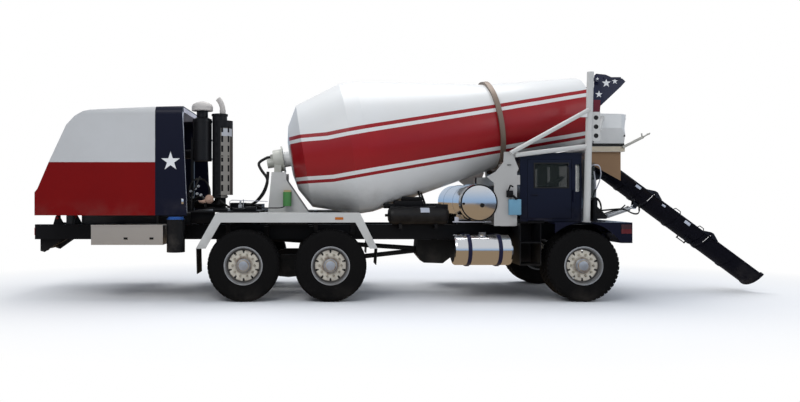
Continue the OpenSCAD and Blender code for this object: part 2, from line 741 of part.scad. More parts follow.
// Hydraulic hose bundle from the motor to the valve block on the deck. A smooth
// curve runs through the route's points, and a round section is swept along it.
hose_r = 24;
hose_start = [drum_x + port[0] * cos(drum_tilt) + port[1] * sin(drum_tilt), -5,
    drum_z + port[0] * sin(drum_tilt) - port[1] * cos(drum_tilt)];
hose_dir = [-cos(drum_tilt), 0, -sin(drum_tilt)];
valve_x = -1180;
hose_path = concat([for (d = [seat, 30, 60]) hose_start + d * hose_dir],
    [[-952, -50, 2220], [-987, -80, 2170], [-963, -110, 2100], [-903, -150, 2012],
    [-844, -190, 1934], [-834, -230, 1836], [-884, -280, 1678], [-982, -330, 1549],
    [-1071, -368, 1490], [valve_x + 60, -380, 1476], [valve_x + 30, -380, 1476],
    [valve_x + seat, -380, 1476]]);
hose_sides = 12;
hose_steps = 3;
function clamp_i(i, n) = max(0, min(n - 1, i));
function curve_at(p, i, t) = let (n = len(p), a = p[clamp_i(i - 1, n)], b = p[i], c = p[clamp_i(i + 1, n)],
    d = p[clamp_i(i + 2, n)]) 0.5 * (2 * b + (c - a) * t + (2 * a - 5 * b + 4 * c - d) * t * t
    + (3 * b - a - 3 * c + d) * t * t * t);
function curve(p, k) = concat([for (i = [0:len(p) - 2]) for (j = [0:k - 1]) curve_at(p, i, j / k)],
    [p[len(p) - 1]]);
module swept_tube(path, r) {
    n = len(path);
    m = hose_sides;
    rings = [for (i = [0:n - 1]) let (d = path[min(i + 1, n - 1)] - path[max(i - 1, 0)], t = d / norm(d),
        u = cross(t, [0, 1, 0]) / norm(cross(t, [0, 1, 0])), v = cross(t, u))
        for (k = [0:m - 1]) path[i] + r * (u * cos(k * 360 / m) + v * sin(k * 360 / m))];
    faces = [for (i = [0:n - 2]) for (k = [0:m - 1]) let (a = i * m + k, b = i * m + (k + 1) % m)
        for (f = [[a, b, b + m], [a, b + m, a + m]]) f];
    polyhedron(rings, concat([[for (k = [m - 1:-1:0]) k]], [[for (k = [0:m - 1]) (n - 1) * m + k]], faces));
}

module hoses() {
    color("#202021") placed() swept_tube(curve(hose_path, hose_steps), hose_r);
}

// Posts beside the cab, their braces and the arms that hold the hoppers
post_y = 1050;
post_r = 50;
post_foot = [4190, 1220];
post_head = [4250, 3550];
brace_r = 34;
arm_r = 32;
module post_frame() {
    brace_y = tower_y + tower_t / 2 + brace_r + seat;
    color("#e3e3e0") placed() {
        for (s = [-1, 1]) {
            bar([post_foot[0], s * post_y, post_foot[1] + 4], [post_head[0], s * post_y, post_head[1]],
                post_r);
            translate([post_foot[0], s * post_y, post_foot[1]]) cylinder(r = 64, h = 14);
            bar([roller_x - 69, s * brace_y, roller_z + 189], [4215, s * brace_y, 2960], brace_r);
            // perforated gusset
            difference() {
                side_plate(s * post_y - 8, 16) polygon([[4230, 2480], [4400, 2480], [4400, 2930],
                    [4240, 2930]]);
                for (z = [2560, 2700, 2840]) translate([4335, s * post_y, z]) rotate([90, 0, 0])
                    cylinder(r = 37, h = 60, center = true);
            }
            // arms to the hoppers, each with its pad
            bar([4385, s * post_y, 2640], [4655, s * 530, 2890], arm_r);
            bar([4250, s * post_y, 3480], [4590, s * (charge_y + 28), 3480], 22);
            span([4615, s * 515 - 15 + s * seat, 2850], [4695, s * 515 + 15 + s * seat, 2930]);
            span([4560, s * (charge_y + 15) - 15 + s * seat, 3450],
                [4620, s * (charge_y + 15) + 15 + s * seat, 3510]);
            // roof beam beside the drum's mouth
            bar([roller_x + 11, s * (post_y - 5), roller_z + 159], [4210, s * (post_y - 5), 2400], 36);
        }
        bar([4205, -post_y, 2348], [4205, post_y, 2348], 28);
    }
}

// Hoppers at the drum's mouth
hopper_t = 8;
collar_y = 330;
collar_x = [4530, 5115];
hopper_front = 5106;
hopper_y = 500;
// cut off the hopper's front corners, along X and along Y
hopper_cut = [115, 85];
module hopper_form(t) {
    y = hopper_y - t;
    x = hopper_front - t;
    intersection() {
        translate([0, 0, 2300]) linear_extrude(800) polygon([[4400, -y], [x - hopper_cut[0], -y],
            [x + 30, -y + hopper_cut[1] * (1 + 30 / hopper_cut[0])],
            [x + 30, y - hopper_cut[1] * (1 + 30 / hopper_cut[0])], [x - hopper_cut[0], y], [4400, y]]);
        side_plate(-600, 1200) polygon([[collar_x[0] + t, 2360 - t], [collar_x[1] - t, 2360 - t],
            [collar_x[1] - t, 2500], [5068 - t, 2740], [x, 2967 + t], [4610 - 12 * t, 2977 + t],
            [4610 - 12 * t, 2455 + t / 8], [collar_x[0] + t, 2455 + t / 8]]);
        translate([3000, 0, 0]) rotate([90, 0, 90]) linear_extrude(3000) polygon([[-collar_y + t, 2300],
            [collar_y - t, 2300], [collar_y - t, 2500], [y, 2740], [y, 3000], [-y, 3000], [-y, 2740],
            [-collar_y + t, 2500]]);
    }
}

module discharge_hopper() {
    color("#e3e3e0") placed() {
        difference() {
            hopper_form(0);
            hopper_form(hopper_t);
        }
        bar([hopper_front - 8, -380, 2900], [hopper_front - 8, 380, 2900], 24);
    }
}

skirt_t = 8;
rim_s = 22;
skirt_x = [4560, 5080];
skirt_y = chute_r - 4 + rim_s / 2 + seat + skirt_t;
// lower edge of the skirt's sides, at its rear and at its front
skirt_z = [2165, 1880];
// height of a line in the chute's side view, at station x and n square to the slope
function on_slope(x, n) = lift_z + (n - (x - lift_x) * sin(chute_slope)) / cos(chute_slope);
module chute_skirt() {
    y = skirt_y;
    color("#9c7f5f") placed() {
        for (s = [-1, 1]) side_plate(s * (y - skirt_t / 2) - skirt_t / 2, skirt_t)
            polygon([[skirt_x[0], 2360], [skirt_x[1], 2360], [skirt_x[1], skirt_z[1]],
                [skirt_x[0], skirt_z[0]]]);
        span([skirt_x[0], -y, skirt_z[0]], [skirt_x[0] + skirt_t, y, 2360]);
        span([skirt_x[1] - skirt_t, -y, on_slope(skirt_x[1], chute_n + 12)], [skirt_x[1], y, 2360]);
    }
}

charge_y = 495;
charge_side = [[4550, 3600], [4580, 3630], [4730, 3615], [4860, 3560], [5010, 3550], [5060, 3500],
    [4985, 3416], [4650, 3100], [4640, 3000], [4530, 3000]];
module charge_hopper() {
    color("#1d2342") placed() {
        difference() {
            side_plate(-charge_y, 2 * charge_y) polygon(charge_side);
            side_plate(-charge_y + hopper_t, 2 * (charge_y - hopper_t)) polygon([[4450, 3700],
                [4990, 3700], [4990, 3500], [5046, 3500], [4976, 3424], [4642, 3108], [4632, 2990],
                [4450, 2990]]);
        }
        for (s = [-1, 1]) span([4700, s * (charge_y + 8) - 8, 3540], [4980, s * (charge_y + 8) + 8, 3570]);
    }
}

// Front fenders with the bumper, its lamp ends and the chute's pivot pin
front_x = [3640, 4820];
front_in = 800;
front_out = fender_out + 5;
front_z = [906, 1220];
arch_r = 665;
pin_z = 1560;
swing_pin_r = 36;
module front_fenders() {
    color("#1b1b2c") placed() {
        both_sides() difference() {
            span([front_x[0], front_in, front_z[0]], [front_x[1], front_out, front_z[1]]);
            translate([axle_c_x, 0, tyre_r]) rotate([-90, 0, 0])
                cylinder(r = arch_r, h = 3000, center = true);
            span([front_x[0] - 1, front_in - 1, 800], [front_x[0] + 740, front_out - 20, front_z[1] - 20]);
            span([front_x[0] + 30, front_in + 30, 800], [front_x[1] - 300, front_out - 20, front_z[1] - 20]);
        }
        both_sides() span([front_x[0], frame_y, front_z[1] - 20], [front_x[1], front_in, front_z[1]]);
        both_sides() span([frame_front_x - 60, frame_y, frame_z + 40],
            [frame_front_x, front_in, frame_z + 120]);
        span([frame_front_x, -front_in, front_z[0]], [front_x[1], front_in, front_z[1]]);
        translate([lift_x, 0, front_z[1] - 5]) cylinder(r = swing_pin_r, h = pin_z - front_z[1]);
    }
}

module lamps() {
    color("#d8b070") placed() {
        both_sides() {
            span([4650, front_out, 1050], [4805, front_out + 8, 1190]);
            for (y = [700, 1010]) translate([front_x[1], y, 1070]) rotate([0, 90, 0])
                cylinder(r = 88, h = 14);
            span([280, fender_out, 1262], [405, fender_out + 8, 1300]);
            span([-4658, frame_y - 70, frame_z + 70], [-4650, frame_y, frame_z + 190]);
        }
    }
}

step_x = [3115, 3440];
step_y = [740, 1180];
step_t = 12;
module steps() {
    color("#141416") placed() both_sides() {
        difference() {
            span([step_x[0], step_y[0], 560], [step_x[1], step_y[1], 1200]);
            span([step_x[0] + step_t, step_y[0] - 10, 572], [step_x[1] - step_t, step_y[1] + 10, 900]);
            span([step_x[0] + step_t, step_y[0] + 20, 916], [step_x[1] - step_t, step_y[1] + 10, 1212]);
        }
        for (x = [step_x[0] + 5, step_x[1] - 120])
            span([x, frame_y, 930], [x + 70, step_y[0] + 20, 1010]);
    }
}

// Cab
cab_top = cab_z + cab_h;
hinge_x = 3985;
hinge_y = cab_y + 13;
hinge_z = [1420, 2090];
hinge_r = 5;
door_x = [3290, 3985];
door_z = [1275, 2200];
door_gap = 5;
window_z = [1760, 2130];
pane_t = 6;
module cab_plan(inset) {
    offset(delta = -inset) polygon([[cab_rear_x, -cab_y], [cab_side_x, -cab_y], [cab_nose_x, -650],
        [cab_nose_x, 650], [cab_side_x, cab_y], [cab_rear_x, cab_y]]);
}

// the openings of the fixed glass, grown by g all round and cut d deep
nose_a = atan2(cab_nose_x - cab_side_x, cab_y - 650);
nose_l = norm([cab_nose_x - cab_side_x, cab_y - 650]);
module cab_windows(g, d) {
    both_sides() {
        translate([4045 - g, cab_y - cab_t / 2 - d / 2, 1690 - g]) cube([70 + 2 * g, d, 430 + 2 * g]);
        translate([(cab_side_x + cab_nose_x) / 2, (cab_y + 650) / 2, 1870]) rotate(90 - nose_a)
            translate([0, -cab_t / 2, 0]) cube([nose_l - 110 + 2 * g, d, 560 + 2 * g], center = true);
    }
    translate([cab_nose_x - cab_t / 2 - d / 2, -590 - g, 1590 - g]) cube([d, 1180 + 2 * g, 560 + 2 * g]);
    translate([cab_rear_x + cab_t / 2 - d / 2, -440 - g, 1700 - g]) cube([d, 880 + 2 * g, 300 + 2 * g]);
}

// the space the drum needs over the cab's roof, wider than the drum by c all round
cab_clear = 30;
module roof_recess(c) {
    at = drum_form[4];
    mouth = drum_form[5];
    translate([drum_x, 0, drum_z]) rotate([0, 90 - drum_tilt, 0]) translate([0, 0, at[0] - 300])
        cylinder(r1 = lookup(at[0] - 300, drum_form) + c, r2 = mouth[1] + c, h = mouth[0] - at[0] + 300,
            $fn = 128);
}

module cab_shell() {
    color("#181a2b") placed() {
        difference() {
            difference() {
                translate([0, 0, cab_z]) linear_extrude(cab_h) cab_plan(0);
                roof_recess(cab_clear);
            }
            difference() {
                translate([0, 0, cab_z + cab_t]) linear_extrude(cab_h - 2 * cab_t) cab_plan(cab_t);
                roof_recess(cab_clear + cab_t);
            }
            cab_windows(0, cab_t + 20);
            for (s = [-1, 1]) translate([door_x[0], s * (cab_y - cab_t / 2) - cab_t, door_z[0]])
                cube([door_x[1] - door_x[0], 2 * cab_t, door_z[1] - door_z[0]]);
        }
        for (x = [3240, 3960]) for (s = [-1, 1]) span([x, s * (frame_y - 45) - 40, frame_top],
            [x + 90, s * (frame_y - 45) + 40, cab_z]);
        // door hinges: a pin between two tabs
        for (z = hinge_z) for (s = [-1, 1]) {
            for (e = [-30, 15]) {
                translate([hinge_x, s * hinge_y, z + e]) cylinder(r = 10, h = 15);
                span([hinge_x, s > 0 ? cab_y - 5 : -hinge_y - 8, z + e],
                    [hinge_x + 50, s > 0 ? hinge_y + 8 : -cab_y + 5, z + e + 15]);
            }
            translate([hinge_x, s * hinge_y, z - 30]) cylinder(r = hinge_r, h = 60);
        }
        // roof rim and grab handles
        difference() {
            translate([0, 0, cab_top - 30]) linear_extrude(30) difference() {
                offset(delta = 12) cab_plan(0);
                cab_plan(1);
            }
            roof_recess(cab_clear);
        }
        for (s = [-1, 1]) {
            bar([4012, s * (cab_y + 30), 1530], [4012, s * (cab_y + 30), 1720], 10);
            for (z = [1540, 1710]) bar([4012, s * (cab_y - 5), z], [4012, s * (cab_y + 30), z], 9);
        }
    }
}

module cab_glass() {
    color([0.6, 0.7, 0.75, 0.35]) placed() cab_windows(-seat, pane_t);
}

module cab_seat() {
    color("#26272b") placed() {
        span([3480, -260, 1560], [3960, 260, 1690]);
        side_plate(-250, 500) polygon([[3370, 1600], [3500, 1600], [3490, 1700], [3440, 2040],
            [3345, 2040]]);
    }
}

module cab_controls() {
    color("#1f2023") placed() {
        span([3520, -190, cab_z + cab_t], [3880, 190, 1560 - seat]);
        side_plate(-620, 1240) polygon([[4180, cab_z + cab_t], [4320, cab_z + cab_t], [4320, 1560],
            [4240, 1640], [4130, 1600]]);
        bar([4180, 0, 1580], [4020, 0, 1830], 26);
        translate([4020, 0, 1830]) rotate([0, -32, 0]) {
            rotate_extrude() translate([215, 0]) circle(r = 15);
            for (a = [90, 210, 330]) rotate(a) translate([0, -14, -6]) cube([212, 28, 12]);
            translate([0, 0, -12]) cylinder(r = 45, h = 30);
        }
    }
}

// Doors hinged at their front edge, just outside the cab's side
module door(side) {
    x0 = door_x[0] + door_gap;
    x1 = door_x[1] - door_gap;
    y0 = side > 0 ? cab_y - cab_t : -cab_y;
    color("#1c1e33") placed() {
        difference() {
            span([x0, y0, door_z[0] + door_gap], [x1, y0 + cab_t, door_z[1] - door_gap]);
            translate([3407, y0 - 1, window_z[0]]) cube([523, cab_t + 2, window_z[1] - window_z[0]]);
            side_plate(y0 + (side > 0 ? -1 : 12), cab_t - 11) polygon([[x0 + 40, 1330], [x1 - 40, 1330],
                [x1 - 40, 1700], [x0 + 40, 1700]]);
        }
        for (z = hinge_z) difference() {
            union() {
                span([x1 - 60, side > 0 ? cab_y - 1 : -cab_y - 8, z - 10],
                    [hinge_x, side > 0 ? cab_y + 8 : -cab_y + 1, z + 10]);
                translate([hinge_x, side * hinge_y, z - 10]) cylinder(r = 12, h = 20);
            }
            translate([hinge_x, side * hinge_y, z - 20]) cylinder(r = hinge_r + seat, h = 40);
            span([x1, -cab_y + 0.7, z - 20], [hinge_x + 20, cab_y - 0.7, z + 20]);
        }
        bar([x0 + 55, side * (cab_y + 22), 1640], [x0 + 155, side * (cab_y + 22), 1640], 8);
        for (x = [x0 + 61, x0 + 149])
            bar([x, side * (cab_y - 2), 1640], [x, side * (cab_y + 22), 1640], 8);
    }
}

// Chute. Its own frame has its origin on the lifting hinge: local X runs down
// the slope, local Z is square to it. The trough's floor lies at chute_floor.
chute_floor = 70;
chute_c = chute_floor + chute_r;
chute_t = 6;
chute_back = -150;
fold_n = 330;
module in_chute() {
    translate([lift_x, 0, lift_z]) rotate([0, chute_slope, 0]) children();
}

module trough(a0, a1) {
    translate([a0, 0, chute_c]) rotate([0, 90, 0]) difference() {
        cylinder(r = chute_r, h = a1 - a0, $fn = 96);
        translate([0, 0, -1]) cylinder(r = chute_r - chute_t, h = a1 - a0 + 2, $fn = 96);
        translate([chute_c - chute_n - 1000, -500, -1]) cube([1000, 1000, a1 - a0 + 2]);
    }
    for (s = [-1, 1]) translate([a0, s * (chute_r - 4) - rim_s / 2, chute_n - rim_s])
        cube([a1 - a0, rim_s, rim_s]);
}

// a stiffening band round the outside of the trough
module band(a, w) {
    translate([a, 0, chute_c]) rotate([0, 90, 0]) difference() {
        cylinder(r = chute_r + 10, h = w, $fn = 96);
        translate([0, 0, -1]) cylinder(r = chute_r - 1, h = w + 2, $fn = 96);
        translate([chute_c - chute_n - 1000 + rim_s, -500, -1]) cube([1000, 1000, w + 2]);
    }
}

// hinge ears on the rim: the inner pair carries the pin, the outer pair turns on it
ear_t = 12;
ear_in = chute_r + 6;
fold_pin_r = 16;
module inner_ears(a) {
    for (s = [-1, 1]) {
        side_plate(s * (ear_in + ear_t / 2) - ear_t / 2, ear_t) polygon([[a - 150, chute_n - rim_s],
            [a - 6, chute_n - rim_s], [a - 4, chute_n + 5], [a + 24, fold_n - 8], [a + 17, fold_n + 20],
            [a - 20, fold_n + 30], [a - 150, chute_n]]);
        translate([a, s * ear_in, fold_n]) rotate([-s * 90, 0, 0])
            cylinder(r = fold_pin_r, h = 2 * ear_t + seat + 10);
    }
}

module outer_ears(a) {
    y = ear_in + ear_t + seat;
    difference() {
        for (s = [-1, 1]) {
            side_plate(s * (y + ear_t / 2) - ear_t / 2, ear_t) polygon([[a + 150, chute_n - rim_s],
                [a + 40, chute_n - rim_s], [a - 26, fold_n - 8], [a - 20, fold_n + 26], [a + 20, fold_n + 30],
                [a + 150, chute_n]]);
            translate([a + 46, s > 0 ? chute_r - 4 : -y - ear_t, chute_n - rim_s])
                cube([100, y + ear_t - chute_r + 4, rim_s]);
        }
        translate([a, 0, fold_n]) rotate([90, 0, 0]) cylinder(r = fold_pin_r + seat, h = 1000, center = true);
    }
}

fold_b = fold_a + fold_len;
fold_gap = 4;
lift_pin_r = 20;
lug_y = 62;
lug_t = 16;
// lift cylinder: foot on the swinging arm and eye under the chute, as parked
foot = [4930, 1262];
eye = [5440, 1440];
cyl_len = norm(eye - foot);
cyl_a = atan2(eye[1] - foot[1], eye[0] - foot[0]);
foot_pin_r = 18;
eye_pin_r = 12;
eye_play = 15;
// the eye in the chute's frame
eye_a = (eye[0] - lift_x) * cos(chute_slope) - (eye[1] - lift_z) * sin(chute_slope);
eye_n = (eye[0] - lift_x) * sin(chute_slope) + (eye[1] - lift_z) * cos(chute_slope);
module chute_main() {
    color("#14141f") placed() in_chute() {
        trough(chute_back, fold_a - fold_gap);
        for (a = [60, 420, 700]) band(a, 30);
        inner_ears(fold_a);
        // lifting lugs with their pin
        for (s = [-1, 1]) side_plate(s * (lug_y + lug_t / 2) - lug_t / 2, lug_t) polygon([[-60, 86],
            [-34, -22], [-12, -36], [12, -36], [34, -22], [120, 86]]);
        rotate([90, 0, 0]) cylinder(r = lift_pin_r, h = 2 * (lug_y + lug_t), center = true);
        // eye lugs of the lift cylinder
        for (s = [-1, 1]) side_plate(s * 44 - 6, 12) polygon([[eye_a - 70, 80], [eye_a - 24, eye_n - 18],
            [eye_a, eye_n - 26], [eye_a + 24, eye_n - 18], [fold_a - 2 * gap, 80]]);
        translate([eye_a, 0, eye_n]) rotate([90, 0, 0]) cylinder(r = eye_pin_r, h = 100, center = true);
    }
}

module chute_fold() {
    color("#14141f") placed() in_chute() {
        trough(fold_a + fold_gap, fold_b - fold_gap);
        for (a = [fold_a + 40, fold_a + 560, fold_b - 90]) band(a, 30);
        outer_ears(fold_a);
        inner_ears(fold_b);
        for (s = [-1, 1]) translate([fold_b - 250, s * 120, 60]) rotate([0, 90, 0]) cylinder(r = 9, h = 170);
        for (s = [-1, 1]) translate([fold_b - 90, s * 120 - 9, 50]) cube([18, 18, 50]);
        for (s = [-1, 1]) translate([fold_b - 250, s * 120 - 9, 50]) cube([18, 18, 50]);
    }
}

module chute_end() {
    color("#14141f") placed() in_chute() {
        trough(fold_b + fold_gap, chute_tip_a);
        for (a = [fold_b + 40, fold_b + 560]) band(a, 30);
        outer_ears(fold_b);
        band(chute_tip_a - 24, 24);
        for (s = [-1, 1]) translate([chute_tip_a - 60, s * (chute_r - 4) - rim_s / 2, chute_n - rim_s])
            cube([60, rim_s, rim_s + tip_lip]);
    }
}

module chute_column() {
    arm_t = 24;
    color("#1a1a2a") placed() difference() {
        union() {
            // sleeve on the pivot pin, with the gusset behind it
            translate([lift_x, 0, front_z[1] + seat]) cylinder(r = 62, h = pin_z - front_z[1] + 30);
            side_plate(-14, 28) polygon([[lift_x - 190, front_z[1] + gap], [lift_x - 40, front_z[1] + gap],
                [lift_x - 40, 1540], [lift_x - 70, 1540], [lift_x - 190, 1400]]);
            // arm and clevis of the lift cylinder
            for (s = [-1, 1]) side_plate(s * 48 - arm_t / 2, arm_t) polygon([[lift_x - 10, front_z[1] + gap],
                [foot[0] + 20, foot[1] - 26], [foot[0] + 34, foot[1]], [foot[0] + 14, foot[1] + 34],
                [lift_x + 20, 1460], [lift_x - 10, 1460]]);
            translate([foot[0], 0, foot[1]]) rotate([90, 0, 0])
                cylinder(r = foot_pin_r, h = 130, center = true);
            // tube up to the hinge eye
            translate([lift_x, 0, pin_z + 20]) cylinder(r = 42, h = lift_z - pin_z - 40);
            translate([lift_x, 0, lift_z]) rotate([90, 0, 0])
                cylinder(r = 48, h = 2 * (lug_y - 4), center = true);
        }
        translate([lift_x, 0, front_z[1] - 10])
            cylinder(r = swing_pin_r + seat, h = pin_z - front_z[1] + 10 + seat);
        translate([lift_x, 0, lift_z]) rotate([90, 0, 0])
            cylinder(r = lift_pin_r + seat, h = 400, center = true);
    }
}

barrel_r = 40;
barrel_l = 450;
rod_r = 22;
module in_cylinder() {
    placed() translate([foot[0], 0, foot[1]]) rotate([0, 90 - cyl_a, 0]) children();
}

module lift_barrel() {
    color("#c2c5c8") in_cylinder() difference() {
        union() {
            translate([0, 0, 56]) cylinder(r = barrel_r, h = barrel_l - 56);
            translate([0, 0, barrel_l - 30]) cylinder(r = barrel_r + 5, h = 30);
            rotate([90, 0, 0]) cylinder(r = 34, h = 60, center = true);
            translate([0, 0, 30]) cube([50, 50, 60], center = true);
        }
        rotate([90, 0, 0]) cylinder(r = foot_pin_r + seat, h = 200, center = true);
        translate([0, 0, 66]) cylinder(r = rod_r + seat, h = 1000);
    }
}

module lift_rod() {
    color("#d9dcde") in_cylinder() difference() {
        union() {
            translate([0, 0, 76]) cylinder(r = rod_r, h = cyl_len - 76);
            translate([0, 0, cyl_len]) rotate([90, 0, 0])
                cylinder(r = eye_pin_r + eye_play + 12, h = 44, center = true);
        }
        translate([0, 0, cyl_len]) rotate([90, 0, 0])
            cylinder(r = eye_pin_r + eye_play, h = 100, center = true);
    }
}

tyre(axle_a_x, -1);  // tyre_a_right
tyre(axle_a_x, 1);  // tyre_a_left
tyre(axle_b_x, -1);  // tyre_b_right
tyre(axle_b_x, 1);  // tyre_b_left
tyre(axle_c_x, -1);  // tyre_c_right
tyre(axle_c_x, 1);  // tyre_c_left
rim(axle_a_x, -1);  // rim_a_right
rim(axle_a_x, 1);  // rim_a_left
rim(axle_b_x, -1);  // rim_b_right
rim(axle_b_x, 1);  // rim_b_left
rim(axle_c_x, -1);  // rim_c_right
rim(axle_c_x, 1);  // rim_c_left
knuckle(-1);  // knuckle_right
knuckle(1);  // knuckle_left
tie_rod();
frame_rails();
cross_members();
rear_hitch();
engine_block();
air_cleaner();
exhaust();
service_deck();
tool_boxes();
rear_fenders();
mud_flaps();
fuel_tanks();
water_tank();
air_tanks();
driveline();
rear_axles();
front_axle();
rear_pedestal();
drum_drive();
hoses();
front_pedestal();
post_frame();
discharge_hopper();
chute_skirt();
charge_hopper();
front_fenders();
lamps();
steps();
cab_shell();
cab_glass();
cab_seat();
cab_controls();
hood();
drum_shell();
drum_fins();
track_ring();
roller(-1);  // roller_right
roller(1);  // roller_left
door(-1);  // door_right
door(1);  // door_left
chute_column();
chute_main();
chute_fold();
chute_end();
lift_barrel();
lift_rod();
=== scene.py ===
# %% [markdown]
# A front-discharge concrete mixer truck, dressed for its portrait. The shapes that
# carry the truck come from its construction model. This lesson gives them their
# paint, rubber and steel, and adds the small things that make it look used: tread,
# nuts, straps, hoses, lamps, door glass, stripes and stars.

# %% Load the truck
import math
import bpy
import bmesh
from mathutils import Vector, Matrix


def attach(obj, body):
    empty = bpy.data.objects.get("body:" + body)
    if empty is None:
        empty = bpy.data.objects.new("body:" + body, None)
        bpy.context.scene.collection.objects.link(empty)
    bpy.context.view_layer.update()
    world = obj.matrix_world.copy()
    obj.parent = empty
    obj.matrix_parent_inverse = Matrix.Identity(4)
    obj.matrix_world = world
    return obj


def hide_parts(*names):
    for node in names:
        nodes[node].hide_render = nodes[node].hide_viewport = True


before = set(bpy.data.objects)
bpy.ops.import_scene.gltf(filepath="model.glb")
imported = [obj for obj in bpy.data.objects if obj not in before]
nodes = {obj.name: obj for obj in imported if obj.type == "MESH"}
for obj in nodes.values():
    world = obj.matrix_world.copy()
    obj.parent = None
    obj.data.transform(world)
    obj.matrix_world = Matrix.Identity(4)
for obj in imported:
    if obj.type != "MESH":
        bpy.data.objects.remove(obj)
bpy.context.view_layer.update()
print("pieces from the construction model:", len(nodes))

# %% [markdown]
# The truck's origin is on the ground at the middle of its length. Its builders
# measured from a datum 1.396 m behind that, so one helper turns their stations
# into ours. The drum leans forward, so its axis, and up square to it, are kept too.

# %% Measures of the truck
DATUM = -1.39609
TILT = math.radians(9.2)
DRUM_AT = Vector((-0.400 + DATUM, 0.0, 2.270))
DRUM_AXIS = Vector((math.cos(TILT), 0, math.sin(TILT)))
DRUM_UP = Vector((-math.sin(TILT), 0, math.cos(TILT)))
AXLES = (("a", -1.125), ("b", 0.210), ("c", 4.080))
WHEEL_Y = 1.010
TYRE_R = 0.556
SIDES = (("right", -1), ("left", 1))
BOTH = (-1, 1)
WHEELS = [(axle + "_" + name, x, side) for axle, x in AXLES for name, side in SIDES]


def at(x, y, z):
    """A place given by the builders' station, in the truck's own frame."""
    return Vector((x + DATUM, y, z))


# %% [markdown]
# The portrait was taken from the truck's right side, at eye height, about eleven
# metres away. A photographer's rising front keeps uprights upright: the lens looks
# level and its frame is shifted instead of the camera being turned.

# %% Camera
EYE = (DATUM, -11.07, 1.64)
SENSOR_WIDTH = 36.0
FOCAL_LENGTH = 29.03
RISE = -0.0075
SHIFT = 0.104


def into_scene(name, data):
    """A new object for some data, linked into the scene."""
    made = bpy.data.objects.new(name, data)
    bpy.context.scene.collection.objects.link(made)
    return made


camera = bpy.data.cameras.new("portrait_camera")
camera.sensor_width, camera.lens = SENSOR_WIDTH, FOCAL_LENGTH
camera.shift_x, camera.shift_y = SHIFT, RISE
portrait = into_scene("portrait_camera", camera)
portrait.location = EYE
portrait.rotation_euler = (math.radians(90), 0, 0)
bpy.context.scene.camera = portrait
bpy.context.scene.view_settings.view_transform = "Standard"
print("camera at", EYE)

# %% [markdown]
# Shader trees are only nodes and links, so one short helper makes a node, sets its
# values and wires its inputs. The others are sums and masks made with it, and the
# finishes below are then a few lines each. Each finish is kept by its name.

# %% Helpers for finishes
FINISHES = {}


def add(tree, kind, values=(), links=()):
    """A node of a kind, its inputs set by name or number, then linked."""
    node = tree.nodes.new("ShaderNode" + kind)
    for key, value in dict(values).items():
        if isinstance(key, str) and hasattr(node, key) and key not in node.inputs:
            setattr(node, key, value)
        else:
            node.inputs[key].default_value = value
    for key, socket in dict(links).items():
        tree.links.new(socket, node.inputs[key])
    return node


def new_material(name, numbers=()):
    """A new finish: its node tree, and its surface shader with numbers set."""
    mat = bpy.data.materials.new(name)
    mat.use_nodes = True
    tree = mat.node_tree
    tree.nodes.clear()
    shader = add(tree, "BsdfPrincipled", numbers)
    add(tree, "OutputMaterial", (), {0: shader.outputs[0]})
    FINISHES[name] = mat
    return tree, shader


def object_place(tree):
    """The place on the piece, in metres of the truck's frame."""
    return add(tree, "TexCoord").outputs["Object"]


def axis_value(tree, axis):
    """How far the place lies along X, Y or Z."""
    return add(tree, "SeparateXYZ", (), {0: object_place(tree)}).outputs[axis]


def vector_maths(tree, operation, vector, other=(0, 0, 0)):
    """One operation on a vector socket and a fixed vector."""
    return add(tree, "VectorMath", {"operation": operation, 1: other}, {0: vector}).outputs


def maths(tree, operation, a, b=0.0):
    """One sum on numbers or sockets."""
    node = add(tree, "Math", {"operation": operation})
    for i, v in enumerate((a, b)):
        if isinstance(v, (int, float)):
            node.inputs[i].default_value = v
        else:
            tree.links.new(v, node.inputs[i])
    return node.outputs[0]


def times(tree, *values):
    """The product of numbers or sockets."""
    total = values[0]
    for value in values[1:]:
        total = maths(tree, "MULTIPLY", total, value)
    return total


def between(tree, value, low, high):
    """1 where value lies between low and high."""
    return times(tree, maths(tree, "GREATER_THAN", value, low), maths(tree, "LESS_THAN", value, high))


def blend_colours(tree, factor, a, b):
    """Colour a where factor is 0, colour b where it is 1."""
    node = add(tree, "Mix", {"data_type": "RGBA"})
    tree.links.new(factor, node.inputs["Factor"])
    for key, c in ((6, a), (7, b)):
        if isinstance(c, tuple):
            node.inputs[key].default_value = (*c, 1)
        else:
            tree.links.new(c, node.inputs[key])
    return node.outputs[2]


def noise(tree, scale, detail=4.0):
    """Soft cloudy noise in the truck's frame."""
    return add(tree, "TexNoise", {"Scale": scale, "Detail": detail, "Roughness": 0.6},
               {"Vector": object_place(tree)}).outputs["Fac"]


def ramp(tree, value, low, high):
    """Stretches value so that low becomes 0 and high becomes 1."""
    node = add(tree, "MapRange", {"From Min": low, "From Max": high})
    tree.links.new(value, node.inputs["Value"])
    return node.outputs[0]


def bump(tree, shader, height, strength, distance):
    """Wires a height into the shader's normal."""
    node = add(tree, "Bump", {"Strength": strength, "Distance": distance})
    tree.links.new(height, node.inputs["Height"])
    tree.links.new(node.outputs[0], shader.inputs["Normal"])


# %% [markdown]
# The backdrop is a white studio. Near the truck the floor is a plain matt plane that
# takes its shadow; further out the camera sees it as pure white, so no horizon
# shows. Glossy rays see sand below and sky above, which is what makes polished
# tanks read as chrome: a bright half over a warm half.

# %% Studio
FLOOR_GREY = (0.86, 0.86, 0.86, 1)
SAND, FAR_DARK = (0.34, 0.25, 0.16), (0.1, 0.1, 0.11)
SHADOW_REACH = (1 / 8.5, 1 / 4.5, 0)


def mesh_from(bm, name):
    """A mesh with the shape of a bmesh, which is let go."""
    data = bpy.data.meshes.new(name)
    bm.to_mesh(data)
    bm.free()
    return data


